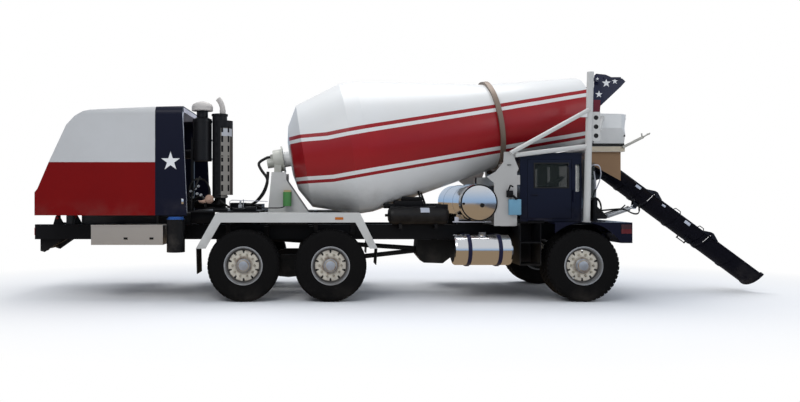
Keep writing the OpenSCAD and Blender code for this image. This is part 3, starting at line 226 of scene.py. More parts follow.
floor = bmesh.new()
bmesh.ops.create_grid(floor, x_segments=1, y_segments=1, size=60)
floor = into_scene("studio_floor", mesh_from(floor, "studio_floor"))
tree, shader = new_material("studio_floor", {"Base Color": FLOOR_GREY, "Roughness": 0.9,
                                             "Specular IOR Level": 0.1})
floor.data.materials.append(FINISHES["studio_floor"])
rays = add(tree, "LightPath").outputs
spread = vector_maths(tree, "MULTIPLY", object_place(tree), SHADOW_REACH)[0]
away = vector_maths(tree, "LENGTH", spread)["Value"]
far = times(tree, ramp(tree, away, 0.55, 1.15), rays["Is Camera Ray"])
pure_white = add(tree, "Emission", {"Color": (1, 1, 1, 1), "Strength": 1.0})
forward, across = axis_value(tree, "X"), axis_value(tree, "Y")
past_cab = ramp(tree, forward, 2.2, 3.0)
far_sand = times(tree, ramp(tree, forward, 7.0, 6.0), ramp(tree, across, -3.5, -4.5))
dark_floor = times(tree, past_cab, maths(tree, "SUBTRACT", 1.0, far_sand))
sand = add(tree, "Emission", {"Strength": 0.9}, {"Color": blend_colours(tree, dark_floor, SAND, FAR_DARK)})
with_white = add(tree, "MixShader", (), {0: far, 1: shader.outputs[0], 2: pure_white.outputs[0]})
with_sand = add(tree, "MixShader", (), {0: rays["Is Glossy Ray"], 1: with_white.outputs[0], 2: sand.outputs[0]})
tree.links.new(with_sand.outputs[0], tree.nodes["Material Output"].inputs["Surface"])

# %% [markdown]
# The sky lights the truck softly, and it is brighter and bluer where paint and
# chrome mirror it. The camera, also through glass, sees plain white. Three large
# round lamps add the light that comes from above and from both ends.

# %% Sky and lamps
LAMPS = (("key_lamp", (-5.0, -9.0, 9.5), 7.0, 430.0), ("fill_lamp", (9.0, -7.0, 5.0), 6.0, 130.0),
         ("top_lamp", (0.0, 2.0, 11.5), 9.0, 900.0))
LIT_PLACE = Vector((0, 0, 1.5))

world = bpy.data.worlds.new("studio")
world.use_nodes = True
bpy.context.scene.world = world
sky = world.node_tree
sky.nodes.clear()
rays = add(sky, "LightPath").outputs
seen = maths(sky, "MAXIMUM", rays["Is Camera Ray"], rays["Is Transmission Ray"])
height = add(sky, "SeparateXYZ", (), {0: add(sky, "TexCoord").outputs["Generated"]}).outputs["Z"]
dull = blend_colours(sky, ramp(sky, height, -0.05, 0.7), (0.16, 0.17, 0.18), (0.7, 0.78, 0.92))
mirrored = blend_colours(sky, ramp(sky, height, 0.02, 0.35), (0.42, 0.62, 0.9), (0.9, 0.92, 0.95))
glow = add(sky, "Background", {"Strength": 0.72},
           {"Color": blend_colours(sky, rays["Is Glossy Ray"], dull, mirrored)})
white = add(sky, "Background", {"Color": (1, 1, 1, 1), "Strength": 1.0})
either = add(sky, "MixShader", (), {0: seen, 1: glow.outputs[0], 2: white.outputs[0]})
add(sky, "OutputWorld", (), {0: either.outputs[0]})
for name, place, size, watts in LAMPS:
    lamp = bpy.data.lights.new(name, "AREA")
    lamp.shape, lamp.size, lamp.energy = "DISK", size, watts
    lamp = into_scene(name, lamp)
    lamp.location = place
    lamp.rotation_euler = (LIT_PLACE - Vector(place)).to_track_quat("-Z", "Y").to_euler()
print("studio lit by", len(LAMPS), "lamps")

# %% [markdown]
# Paint on a working truck is never one flat colour: it is a little darker low down
# where dust sits, and the gloss varies. One function makes such a paint from a
# colour, and the others reuse it.

# %% Plain finishes
ROAD_DUST = (0.17, 0.145, 0.12)


def finish_colour(tree, shader, colour, top=1.5, depth=1.2):
    """Joins a colour to the shader, with dust low down that fades out at height top."""
    low = ramp(tree, axis_value(tree, "Z"), top, top - depth)
    dust = times(tree, low, ramp(tree, noise(tree, 3.1), 0.42, 0.7), 0.55)
    tree.links.new(blend_colours(tree, dust, colour, ROAD_DUST), shader.inputs["Base Color"])


def paint(name, colour, rough=0.3, coat=0.3, metal=0.0, top=1.5, bumps=0.0, shine=0.5):
    """A sprayed paint with a clear coat and road dust."""
    tree, shader = new_material(name, {"Specular IOR Level": shine, "Roughness": rough, "Metallic": metal,
                                       "Coat Weight": coat, "Coat Roughness": 0.12})
    finish_colour(tree, shader, colour, top)
    if bumps:
        bump(tree, shader, noise(tree, 60.0), 0.25, bumps)


def bare_metal(name, colour, rough, streaks=0.0):
    """Polished or brushed metal, its gloss broken by fine noise."""
    tree, shader = new_material(name, {"Base Color": (*colour, 1), "Metallic": 1.0})
    gloss = maths(tree, "ADD", times(tree, noise(tree, 9.0), 0.16), rough - 0.05)
    tree.links.new(gloss, shader.inputs["Roughness"])
    if streaks:
        bump(tree, shader, noise(tree, 120.0), 0.2, streaks)


paint("tyre_rubber", (0.0065, 0.0062, 0.0062), 0.75, 0.0, top=0.3, bumps=0.002, shine=0.05)
paint("black_steel", (0.006, 0.006, 0.007), 0.45, 0.0, top=0.9, shine=0.15)
paint("cast_dark", (0.014, 0.0135, 0.013), 0.7, 0.0, top=0.9, bumps=0.002, shine=0.1)
paint("engine_grey", (0.03, 0.032, 0.034), 0.6, 0.0, bumps=0.002, shine=0.3)
bare_metal("bright_metal", (0.8, 0.81, 0.83), 0.14)
bare_metal("box_aluminium", (0.62, 0.585, 0.54), 0.42, 0.001)
paint("deck_grey", (0.3, 0.31, 0.32), 0.55, 0.0)
paint("white_paint", (0.7, 0.7, 0.68), 0.35, 0.2)
paint("shaded_white", (0.42, 0.41, 0.39), 0.45, 0.05)
paint("drive_cream", (0.5, 0.5, 0.44), 0.5, 0.1)
paint("black_rubber", (0.008, 0.008, 0.008), 0.6, 0.0, top=0.8, shine=0.3)
paint("collar_cream", (0.5, 0.43, 0.32), 0.5, 0.1)
paint("lever_grey", (0.42, 0.4, 0.35), 0.5, 0.1)
paint("skirt_rubber", (0.26, 0.16, 0.09), 0.8, 0.0, bumps=0.002, shine=0.2)
paint("navy_paint", (0.0045, 0.005, 0.015), 0.2, 0.05, top=1.0, shine=0.25)
paint("seat_fabric", (0.04, 0.04, 0.05), 0.9, 0.0, bumps=0.001)
paint("dash_plastic", (0.03, 0.03, 0.035), 0.7, 0.0)
paint("drum_inside", (0.3, 0.29, 0.27), 0.7, 0.0, metal=0.4)
paint("track_steel", (0.2, 0.15, 0.115), 0.5, 0.0, metal=0.3)
paint("chute_navy", (0.0045, 0.0045, 0.009), 0.25, 0.0, top=0.6, shine=0.3)
bare_metal("chrome_rod", (0.85, 0.86, 0.88), 0.1)
paint("heat_blanket", (0.42, 0.27, 0.2), 0.8, 0.0, bumps=0.003)
paint("pale_plate", (0.5, 0.53, 0.6), 0.4, 0.1)
paint("silver_paint", (0.5, 0.51, 0.52), 0.35, 0.3, metal=0.3)
print("plain finishes:", len(FINISHES))

# %% [markdown]
# The drum is white with red bands that run its whole length on both flanks. Their
# edges are straight lines parallel to the drum's axis, so they are cut by the
# height above the axis, not by the angle round it. Thin white and red lines edge
# the broad band. The bands turn with the drum, since they are read from its mesh.

# %% Drum paint
RED, CLOUDED_RED = (0.3, 0.006, 0.01), (0.2, 0.006, 0.01)
WHITE, CLOUDED_WHITE = (0.69, 0.69, 0.675), (0.62, 0.6, 0.56)
BAND_EDGES = (-0.535, -0.485, -0.425, 0.130, 0.190, 0.250)


def drum_distance(tree, direction):
    """How far a place lies from the drum's rear head, along a direction."""
    spot = vector_maths(tree, "SUBTRACT", object_place(tree), DRUM_AT)[0]
    return vector_maths(tree, "DOT_PRODUCT", spot, direction)["Value"]


def band_height(tree):
    """Height above the drum's axis, square to it, less the bands' slow climb."""
    along = drum_distance(tree, DRUM_AXIS)
    climb = maths(tree, "ADD", times(tree, along, 0.0127), 0.004)
    rear_drop = times(tree, ramp(tree, along, 0.6, 0.0), 0.07)
    return maths(tree, "SUBTRACT", drum_distance(tree, DRUM_UP), maths(tree, "ADD", climb, rear_drop))


def stripes(tree, value, edges):
    """1 between the first and second edge, 0 to the third, 1 to the fourth and so on."""
    total = 0.0
    for i, edge in enumerate(edges):
        step = maths(tree, "GREATER_THAN", value, edge)
        total = maths(tree, "SUBTRACT" if i % 2 else "ADD", total, step)
    return total


def drum_paint():
    """White with red bands, both a little clouded, and a white rear head."""
    tree, shader = new_material("drum_paint", {"Roughness": 0.32, "Coat Weight": 0.1,
                                               "Specular IOR Level": 0.35})
    wobble = times(tree, maths(tree, "SUBTRACT", noise(tree, 2.0, 1.0), 0.5), 0.006)
    bands = stripes(tree, maths(tree, "ADD", band_height(tree), wobble), BAND_EDGES)
    bands = times(tree, bands, maths(tree, "GREATER_THAN", drum_distance(tree, DRUM_AXIS), -0.02))
    cloud = ramp(tree, noise(tree, 1.4), 0.35, 0.75)
    white = blend_colours(tree, times(tree, cloud, 0.35), WHITE, CLOUDED_WHITE)
    red = blend_colours(tree, times(tree, cloud, 0.4), RED, CLOUDED_RED)
    finish_colour(tree, shader, blend_colours(tree, bands, white, red), 1.9, 0.8)


drum_paint()
print("drum bands at", BAND_EDGES)

# %% [markdown]
# The hood carries the same idea as a flag: white above, red below, a navy band at
# its front edge with one large white star. The split lines are level and upright,
# so plain height and length are enough to place them. The roof's lining is pale.

# %% Hood paint
HOOD_SPLIT_Z = 2.149
HOOD_BAND_X = -2.50 + DATUM
HOOD_NAVY, LINING = (0.006, 0.007, 0.018), (0.62, 0.6, 0.66)
HOOD_RED, HOOD_CLOUDED_RED = (0.19, 0.003, 0.003), (0.13, 0.002, 0.003)
HOOD_WHITE, HOOD_CLOUDED_WHITE = (0.55, 0.55, 0.545), (0.46, 0.455, 0.44)
LINING_Z, LINING_Y = (2.9, 3.0125), (-0.97, 0.97)


def hood_paint():
    """Red below, white above, navy in front, and a pale lining under the roof."""
    tree, shader = new_material("hood_paint", {"Roughness": 0.35, "Coat Weight": 0.02,
                                               "Specular IOR Level": 0.12})
    across, height = axis_value(tree, "Y"), axis_value(tree, "Z")
    cloud = times(tree, ramp(tree, noise(tree, 1.2), 0.35, 0.75), 0.4)
    red = blend_colours(tree, cloud, HOOD_RED, HOOD_CLOUDED_RED)
    white = blend_colours(tree, cloud, HOOD_WHITE, HOOD_CLOUDED_WHITE)
    halves = blend_colours(tree, maths(tree, "GREATER_THAN", height, HOOD_SPLIT_Z), red, white)
    in_band = maths(tree, "GREATER_THAN", axis_value(tree, "X"), HOOD_BAND_X)
    outside = blend_colours(tree, in_band, halves, HOOD_NAVY)
    lined = times(tree, between(tree, height, *LINING_Z), between(tree, across, *LINING_Y))
    finish_colour(tree, shader, blend_colours(tree, lined, outside, LINING), 1.6, 1.0)


hood_paint()
print("hood split at", HOOD_SPLIT_Z)

# %% [markdown]
# Wheels are sprayed cream, and rust weeps from round the nuts. Distance from the
# wheel's centre is the useful measure: it places the rust and painted shade round the
# hub, the rust, the painted shade that stands for the hand holes, the painted shade
# in the rim's well and the grey rim. A cosine of the angle tells hole from disc. Each
# axle needs its own centre, so the finish is made once per axle.

# %% Wheel paint
WHEEL_CREAM = (0.68, 0.63, 0.53)
# HUB_RUST_AND_SHADE is rust and painted shade round the hub, HOLE_SHADE is painted shade that stands for the
# hand holes, WELL_SHADE is painted shade in the rim's well
RUST, HUB_RUST_AND_SHADE, HOLE_SHADE = (0.2, 0.1, 0.05), (0.1, 0.07, 0.05), (0.02, 0.017, 0.015)
WELL_SHADE, RIM_GREY = (0.05, 0.047, 0.043), (0.19, 0.19, 0.19)
NUT_RUST_R, HOLE_R, HAND_HOLES = 0.185, 0.208, 10


def wheel_paint(axle, x):
    """One axle's wheel finish: each mask lays a shade over those before it."""
    tree, shader = new_material("wheel_paint_" + axle, {"Roughness": 0.6})
    spot = vector_maths(tree, "SUBTRACT", object_place(tree), (x + DATUM, 0, TYRE_R))[0]
    flat = vector_maths(tree, "MULTIPLY", spot, (1, 0, 1))[0]
    radius = vector_maths(tree, "LENGTH", flat)["Value"]
    off_nuts, off_holes = (maths(tree, "ABSOLUTE", maths(tree, "SUBTRACT", radius, r))
                           for r in (NUT_RUST_R, HOLE_R))
    parts = add(tree, "SeparateXYZ", (), {0: flat}).outputs
    turn = times(tree, maths(tree, "ARCTAN2", parts["Z"], parts["X"]), HAND_HOLES)
    near_hole = ramp(tree, times(tree, maths(tree, "COSINE", turn), -1.0), 0.72, 0.9)
    patches = ramp(tree, noise(tree, 16.0), 0.45, 0.62)
    colour = WHEEL_CREAM
    for mask, shade in ((times(tree, ramp(tree, off_nuts, 0.02, 0.06), patches, 0.7), RUST),
                        # rust and painted shade darken the disc round the hub
                        (times(tree, ramp(tree, radius, 0.15, 0.12), 0.62), HUB_RUST_AND_SHADE),
                        # painted shade that stands for the hand holes, making them look larger than the
                        # modelled holes
                        (times(tree, near_hole, ramp(tree, off_holes, 0.02, 0.013)), HOLE_SHADE),
                        # painted shade in the rim's well, just outside the disc
                        (ramp(tree, radius, 0.231, 0.24), WELL_SHADE),
                        (ramp(tree, radius, 0.26, 0.268), RIM_GREY)):
        colour = blend_colours(tree, mask, colour, shade)
    finish_colour(tree, shader, colour, 0.9, 1.0)


for axle, x in AXLES:
    wheel_paint(axle, x)
print("wheel finishes:", len(AXLES))

# %% [markdown]
# Many pieces of the construction model are one shape with more than one finish: a
# polished tank with black straps, a black canister with a blue lid. A zoned finish
# picks the colour, metal and gloss by place, in the builders' own stations.

# %% Zoned finishes


def inside(tree, bounds):
    """1 where the place lies in every given range of X, Y or Z."""
    ranges = []
    for axis, low, high in bounds:
        shift = DATUM if axis == "X" else 0.0
        ranges.append(between(tree, axis_value(tree, axis), low + shift, high + shift))
    return times(tree, *ranges)


def blend_numbers(tree, factor, a, b):
    """Number a where factor is 0, number b where it is 1."""
    node = add(tree, "Mix", {"data_type": "FLOAT"}, {0: factor})
    for key, value in ((2, a), (3, b)):
        if isinstance(value, (int, float)):
            node.inputs[key].default_value = value
        else:
            tree.links.new(value, node.inputs[key])
    return node.outputs[0]


def zoned(name, base, zones, top=1.5, coat=0.05):
    """base and each zone's look are (colour, metallic, roughness)."""
    tree, shader = new_material(name, {"Coat Weight": coat, "Specular IOR Level": 0.2})
    colour, metal, rough = base
    for look, bounds in zones:
        mask = inside(tree, bounds)
        colour = blend_colours(tree, mask, colour, look[0])
        metal = blend_numbers(tree, mask, metal, look[1])
        rough = blend_numbers(tree, mask, rough, look[2])
    finish_colour(tree, shader, colour, top)
    tree.links.new(metal, shader.inputs["Metallic"])
    tree.links.new(rough, shader.inputs["Roughness"])


BLACK = ((0.0065, 0.0065, 0.0075), 0.0, 0.4)
CHROME = ((0.8, 0.81, 0.83), 1.0, 0.12)
PALE = ((0.5, 0.47, 0.44), 0.0, 0.6)
OFF_WHITE = ((0.54, 0.535, 0.51), 0.0, 0.4)
NAVY = ((0.01, 0.012, 0.035), 0.0, 0.25)
STRAP = ((0.01, 0.012, 0.04), 0.0, 0.3)
GUARD = ((0.24, 0.225, 0.2), 0.2, 0.45)
GUARD_INSIDE = ((0.06, 0.05, 0.045), 0.0, 0.7)
CLAMP = ((0.42, 0.43, 0.45), 0.0, 0.5)
FILLER_CAP = ((0.12, 0.12, 0.12), 0.0, 0.5)
LID_BLUE = ((0.03, 0.11, 0.36), 0.0, 0.35)
FILTER_GREEN = ((0.08, 0.25, 0.075), 0.0, 0.4)
FILTER_TAN = ((0.45, 0.37, 0.2), 0.0, 0.5)
CAB_NAVY = ((0.0045, 0.005, 0.015), 0.0, 0.2)
CAB_LINING = ((0.02, 0.02, 0.022), 0.0, 0.7)
AMBER = ((0.45, 0.13, 0.02), 0.0, 0.2)
HEADLAMP = ((0.72, 0.72, 0.7), 0.0, 0.1)
TAIL_RED = ((0.4, 0.02, 0.02), 0.0, 0.2)
CORNER_DARK = ((0.05, 0.022, 0.026), 0.0, 0.2)
CORNER_RED = ((0.11, 0.016, 0.02), 0.0, 0.2)
HOPPER_RED = ((0.13, 0.006, 0.018), 0.0, 0.3)
# painted shadow: the white lower brace under the drum is painted dark grey where the drum's shadow falls on it
BRACE_IN_DRUM_SHADOW = ((0.2, 0.21, 0.2), 0.0, 0.4)
BEARING_GREY = ((0.4, 0.4, 0.42), 0.0, 0.4)
BY_GUARD, FILTER_Y, CORNER_X = ("Z", 1.6, 2.7), ("Y", -0.7, -0.5125), ("X", 4.64, 4.816)

zoned("air_cleaner", BLACK, [(PALE, [("Z", 2.983, 9.0)])])
zoned("exhaust", BLACK, [
    (GUARD, [("X", -1.515, 0.0), BY_GUARD, ("Y", -0.93, -0.62)]),
    (GUARD_INSIDE, [("X", -1.375, 0.0), BY_GUARD, ("Y", -0.93, -0.5)]),
    (CLAMP, [("X", -1.5, -1.35), ("Z", 2.57, 2.69), ("Y", -0.93, -0.8)]),
    (PALE, [("Z", 2.935, 9.0)])], coat=0.0)
zoned("fuel_tanks", CHROME, [
    (STRAP, [("X", 2.329, 2.391)]), (STRAP, [("X", 2.799, 2.861)]),
    (FILLER_CAP, [("Z", 1.021, 1.2)]), (BLACK, [("Y", -0.6, 0.6)])], top=0.2, coat=0.0)
zoned("water_tank", CHROME, [(BLACK, [("Z", 0.0, 1.232)]), (BLACK, [("Z", 1.815, 2.0)])], top=1.0, coat=0.0)
zoned("air_tanks", BLACK, [(LID_BLUE, [("X", -3.0, -1.0), ("Z", 1.262, 1.4)])])
zoned("rear_pedestal", OFF_WHITE, [
    (FILTER_GREEN, [FILTER_Y, ("Z", 1.4, 1.691)]), (FILTER_TAN, [FILTER_Y, ("Z", 1.689, 1.8)]),
    (BLACK, [("Z", 0.0, 1.3)])])
zoned("rear_fenders", OFF_WHITE, [(BLACK, [("Y", -0.786, 0.786)])])
zoned("cab_shell", CAB_NAVY, [(CAB_LINING, [("X", 3.216, 4.3), ("Y", -0.944, 0.944), ("Z", 1.28, 2.2)])])
zoned("lamps", AMBER, [
    (HEADLAMP, [("X", 4.819, 5.0)]), (TAIL_RED, [("X", -5.0, -4.0)]),
    (CORNER_DARK, [CORNER_X]), (CORNER_RED, [CORNER_X, ("Z", 1.05, 1.12)])], coat=0.4)
zoned("charge_hopper", NAVY, [(HOPPER_RED, [("X", 4.4, 4.648), ("Z", 2.9, 3.2)])], coat=0.1)
zoned("post_frame", OFF_WHITE, [
    # the brace zone is painted shadow from the drum
    (BRACE_IN_DRUM_SHADOW, [("X", 1.86, 2.77), ("Z", 2.15, 2.46)]), (NAVY, [("X", 4.31, 5.0), ("Z", 3.4, 3.6)])])
zoned("chute_column", BLACK, [(BEARING_GREY, [("Z", 1.575, 1.9), ("Y", -0.06, 0.06)])])
print("zoned finishes made")

# %% [markdown]
# Every piece of the construction model gets its finish from a table: a finish, then
# how the names of its pieces start. A piece that isn't in it wears the zoned finish
# of its own name. The glass is thin, so it hides a part of what lies behind instead
# of bending it.

# %% Painting the construction model
NODE_FINISH = (
    ("black_steel", "tie_rod frame_rails cross_members rear_hitch service_deck steps"),
    ("cast_dark", "knuckle driveline rear_axles front_axle"), ("tyre_rubber", "tyre_"),
    ("wheel_paint_a", "rim_a"), ("wheel_paint_b", "rim_b"), ("wheel_paint_c", "rim_c"),
    ("engine_grey", "engine_block"), ("box_aluminium", "tool_boxes"), ("black_rubber", "mud_flaps hoses"),
    ("drive_cream", "drum_drive"), ("shaded_white", "front_pedestal"), ("white_paint", "discharge_hopper"),
    ("skirt_rubber", "chute_skirt"), ("navy_paint", "front_fenders door"), ("hood_paint", "hood"),
    ("cab_glass_pane", "cab_glass"), ("seat_fabric", "cab_seat"), ("dash_plastic", "cab_controls"),
    ("drum_paint", "drum_shell"), ("drum_inside", "drum_fins"), ("track_steel", "track_ring roller"),
    ("chute_navy", "chute_main chute_fold chute_end"), ("silver_paint", "lift_barrel"),
    ("chrome_rod", "lift_rod"),
)


def glass_finish(name, tint, cover):
    """Tinted glass that still shows the room behind; cover is how much it hides."""
    new_material(name, {"Base Color": (*tint, 1), "Roughness": 0.03, "IOR": 1.2, "Alpha": cover})


glass_finish("cab_glass_pane", (0.12, 0.14, 0.13), 0.3)
glass_finish("door_glass_pane", (0.018, 0.021, 0.018), 0.72)
for name, node in nodes.items():
    finish = next((f for f, starts in NODE_FINISH if name.startswith(tuple(starts.split()))), name)
    node.data.materials.clear()
    node.data.materials.append(FINISHES[finish])
print("painted", len(nodes), "pieces")

# %% [markdown]
# The rest of the truck is modelled piece by piece. A few helpers carry the work: one
# turns a finished bmesh into an object that rides on a body of the truck, one spins
# a profile into a round piece, and the others add boxes, bars and cut plates.

# %% Helpers for pieces
TO_RIGHT = Matrix.Rotation(math.radians(90), 4, "X")


def finished(bm, name, finish, body="chassis", smooth=30, instead_of=()):
    """Makes a bmesh an object of the truck: finish, slot, body, shading."""
    piece = into_scene(name, mesh_from(bm, name))
    piece.data.materials.append(FINISHES[finish])
    if smooth:
        piece.data.shade_smooth()
        piece.data.set_sharp_from_angle(angle=math.radians(smooth))
    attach(piece, body)
    if instead_of:
        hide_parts(*instead_of)
    return piece


def round_piece(bm, profile, place, steps, closed=True):
    """Spins (radius, height) pairs round local Z and puts the result at place."""
    # other shapes may lie in the same bmesh, so only what hangs on the profile is moved
    rows = [bm.verts.new((r, 0, z)) for r, z in profile]
    edges = [bm.edges.new(pair) for pair in zip(rows, rows[1:])]
    if closed:
        edges.append(bm.edges.new((rows[-1], rows[0])))
    bmesh.ops.spin(bm, geom=rows + edges, cent=(0, 0, 0), axis=(0, 0, 1), dvec=(0, 0, 0),
                   angle=math.tau, steps=steps, use_merge=True)
    verts = set(rows)
    frontier = list(rows)
    while frontier:
        for edge in frontier.pop().link_edges:
            for vert in edge.verts:
                if vert not in verts:
                    verts.add(vert)
                    frontier.append(vert)
    verts = list(verts)
    bmesh.ops.remove_doubles(bm, verts=verts, dist=1e-6)
    verts = [v for v in verts if v.is_valid]
    faces = list({f for v in verts for f in v.link_faces})
    bmesh.ops.recalc_face_normals(bm, faces=faces)
    bmesh.ops.transform(bm, matrix=place, verts=verts)


def add_disc(bm, r, z0, z1, place, steps=24):
    """A solid disc or bar along local Z, from z0 to z1."""
    size = z1 - z0
    bmesh.ops.create_cone(bm, cap_ends=True, segments=steps, radius1=r, radius2=r, depth=size,
                          matrix=place @ Matrix.Translation((0, 0, z0 + size / 2)))


def add_box(bm, low, high, place=Matrix.Identity(4), bevel=0.0):
    """A box between two corners, its edges softened."""
    low, high = Vector(low), Vector(high)
    made = bmesh.ops.create_cube(bm, size=1.0, matrix=place @ Matrix.Translation((low + high) / 2)
                                 @ Matrix.Diagonal((*(high - low), 1)))
    if bevel:
        edges = list({e for v in made["verts"] for e in v.link_edges})
        bmesh.ops.bevel(bm, geom=edges, offset=bevel, offset_type="OFFSET", segments=2, profile=0.5,
                        affect="EDGES", material=-1)


def along(a, b):
    """A frame at a whose local Z points to b."""
    return Matrix.Translation(a) @ (b - a).to_track_quat("Z", "Y").to_matrix().to_4x4()


def add_bar(bm, a, b, r, steps=12):
    """A round bar between two places."""
    add_disc(bm, r, 0, (b - a).length, along(a, b), steps)


def add_plate(bm, outline, thick, place):
    """A flat plate cut to an outline of (x, y) points, lying square to local Z."""
    rim = [bm.verts.new((x, y, 0)) for x, y in outline]
    grown = bmesh.ops.extrude_face_region(bm, geom=[bm.faces.new(rim)])
    top = [g for g in grown["geom"] if isinstance(g, bmesh.types.BMVert)]
    bmesh.ops.translate(bm, verts=top, vec=(0, 0, thick))
    verts = rim + top
    bmesh.ops.recalc_face_normals(bm, faces=list({f for v in verts for f in v.link_faces}))
    bmesh.ops.transform(bm, matrix=place, verts=verts)
    return verts


def fitting(name, finish, boxes=(), bars=(), body="chassis"):
    """A small piece made of boxes (corners, bevel) and round bars (ends, radius)."""
    bm = bmesh.new()
    for low, high, bevel in boxes:
        add_box(bm, at(*low), at(*high), bevel=bevel)
    for a, b, *rest in bars:
        add_bar(bm, at(*a), at(*b), *rest)
    finished(bm, name, finish, body)


def facing_right(x, y, z):
    """A frame whose local Z points to the truck's right and local Y up."""
    return Matrix.Translation(at(x, y, z)) @ TO_RIGHT


def wheel_frame(x, side):
    """A wheel's own frame: local Z points away from the truck."""
    return Matrix.Translation(at(x, side * WHEEL_Y, TYRE_R)) @ Matrix.Rotation(math.radians(-90 * side), 4, "X")


print("helpers ready")

# %% [markdown]
# A heavy truck tyre has a rounded casing, a raised bead, a fine rib on its wall and
# a tread of blocks between grooves. The casing is one spun profile. The tread is a
# few blocks, copied round, whose outer faces keep the tyre's full radius.

# %% Tyres
CASING = ((0.289, 0.176), (0.2965, 0.19), (0.2985, 0.204), (0.316, 0.2075), (0.34, 0.2065), (0.375, 0.2085),
          (0.41, 0.21), (0.45, 0.2095), (0.481, 0.206), (0.49, 0.2065), (0.5, 0.203), (0.52, 0.197),
          (0.534, 0.186), (0.542, 0.168), (0.543, 0.15))
TREAD_ROWS = ((-0.158, 0.05, 0.0), (-0.098, 0.052, 0.5), (-0.035, 0.05, 0.0), (0.035, 0.05, 0.5),
              (0.098, 0.052, 0.0), (0.158, 0.05, 0.5))
TREAD_BLOCKS = 48


def tyre(name, x, side):
    """One tyre: the spun casing and six rows of blocks round it."""
    bm = bmesh.new()
    place = wheel_frame(x, side)
    round_piece(bm, list(CASING) + [(r, -z) for r, z in reversed(CASING)], place, steps=72)
    blocks = bmesh.new()
    for z, width, shift in TREAD_ROWS:
        top = 0.5555 if abs(z) < 0.15 else 0.5525
        skew = Matrix.Rotation(math.radians(12 if z > 0 else -12), 4, "X")
        for i in range(TREAD_BLOCKS):
            turn = Matrix.Rotation(math.tau * (i + shift) / TREAD_BLOCKS, 4, "Z")
            add_box(blocks, (0.53, -0.028, -width / 2), (top, 0.028, width / 2),
                    place @ turn @ Matrix.Translation((0, 0, z)) @ skew)
    data = mesh_from(blocks, "blocks")
    bm.from_mesh(data)
    bpy.data.meshes.remove(data)
    return finished(bm, "tread_" + name, "tyre_rubber", "wheel_" + name, 28, ("tyre_" + name,))


for wheel in WHEELS:
    piece = tyre(*wheel)
print("tyres:", len(WHEELS), "with", len(piece.data.polygons), "faces each")

# %% [markdown]
# A five-pointed star is a flat plate of ten corners at two distances. It stands a
# millimetre or two proud of the panel, like a decal seen close up. The same maker
# serves the hood's big star and the hopper's small ones.

# %% Stars
paint("star_white", (0.76, 0.76, 0.75), 0.35, 0.2)
HOPPER_STARS = ((4.745, 3.475, 0.078), (4.885, 3.505, 0.052), (4.625, 3.29, 0.062), (4.60, 3.545, 0.03))
STAR_WAIST = 0.382


def add_stars(name, body, y, thick, spots):
    """Stars of radius r at stations x, z, on both sides of the truck."""
    bm = bmesh.new()
    for x, z, r in spots:
        outline = []
        for i in range(10):
            angle, reach = math.radians(90 + 36 * i), r * STAR_WAIST if i % 2 else r
            outline.append((reach * math.cos(angle), reach * math.sin(angle)))
        for side in BOTH:
            turn = Matrix.Rotation(math.pi if side > 0 else 0.0, 4, "Z")
            add_plate(bm, outline, thick, Matrix.Translation(at(x, y * side, z)) @ turn @ TO_RIGHT)
    finished(bm, name, "star_white", body, 0)


add_stars("hood_star", "hood", 1.0995, 0.003, [(-2.26, 2.16, 0.152)])
add_stars("hopper_stars", "chassis", 0.4945, 0.002, HOPPER_STARS)
print("stars:", 2 + 2 * len(HOPPER_STARS))

# %% [markdown]
# The cab's doors carry their own glass. Each pane sits in the middle of the door's
# opening and swings with it, under a thin black rubber seal.

# %% Door glass
PANE_X, PANE_Z = (3.407, 3.930), (1.760, 2.130)
SEAL_OUT, SEAL_IN = 0.016, 0.004
(x0, x1), (z0, z1) = PANE_X, PANE_Z
SEAL_BARS = (((x0 - SEAL_OUT, z0 - SEAL_OUT), (x1 + SEAL_OUT, z0 + SEAL_IN)),
             ((x0 - SEAL_OUT, z1 - SEAL_IN), (x1 + SEAL_OUT, z1 + SEAL_OUT)),
             ((x0 - SEAL_OUT, z0), (x0 + SEAL_IN, z1)), ((x1 - SEAL_IN, z0), (x1 + SEAL_OUT, z1)))
for name, side in SIDES:
    pane = bmesh.new()
    y = side * 0.965
    add_box(pane, at(x0 + 0.001, y - 0.003, z0 + 0.001), at(x1 - 0.001, y + 0.003, z1 - 0.001))
    finished(pane, "door_pane_" + name, "door_glass_pane", "door_" + name, 0)
    y0, y1 = sorted((0.983 * side, 0.990 * side))
    fitting("door_seal_" + name, "black_rubber", body="door_" + name,
            boxes=[((low[0], y0, low[1]), (high[0], y1, high[1]), 0.0015) for low, high in SEAL_BARS])
print("door panes:", 2)

# %% [markdown]
# Wheel nuts catch the light more than anything else on a wheel. Each is a hexagon
# with a rounded cap, as pale as the disc, and ten of them ring the hub. The hub's
# cap is grey steel, and a thin silver ring marks where the rim meets the tyre. The
# cap and the ring are spun from their half sections.

# %% Wheel nuts and caps
paint("nut_steel", (0.42, 0.38, 0.3), 0.55, 0.0, metal=0.2)
paint("ring_silver", (0.4, 0.41, 0.42), 0.45, 0.0, metal=0.3)
paint("cap_steel", (0.42, 0.45, 0.5), 0.38, 0.1, metal=0.5)
NUTS, NUT_RING, DISC_Z = 10, 0.1675, 0.140
NUT_CAP = ((0, 0.012), (0.0165, 0.012), (0.0165, 0.031), (0.011, 0.039), (0, 0.0405))
HUB_CAP = ((0, 0.198), (0.081, 0.195), (0.0935, 0.188), (0.0995, 0.155), (0.105, 0.1525), (0.105, 0.1575),
           (0.1, 0.162), (0.095, 0.193), (0.078, 0.201), (0.045, 0.2065), (0, 0.208))
RIM_RING = ((0.284, 0.1985), (0.2975, 0.1985), (0.2975, 0.2055), (0.2945, 0.2085), (0.284, 0.2085))


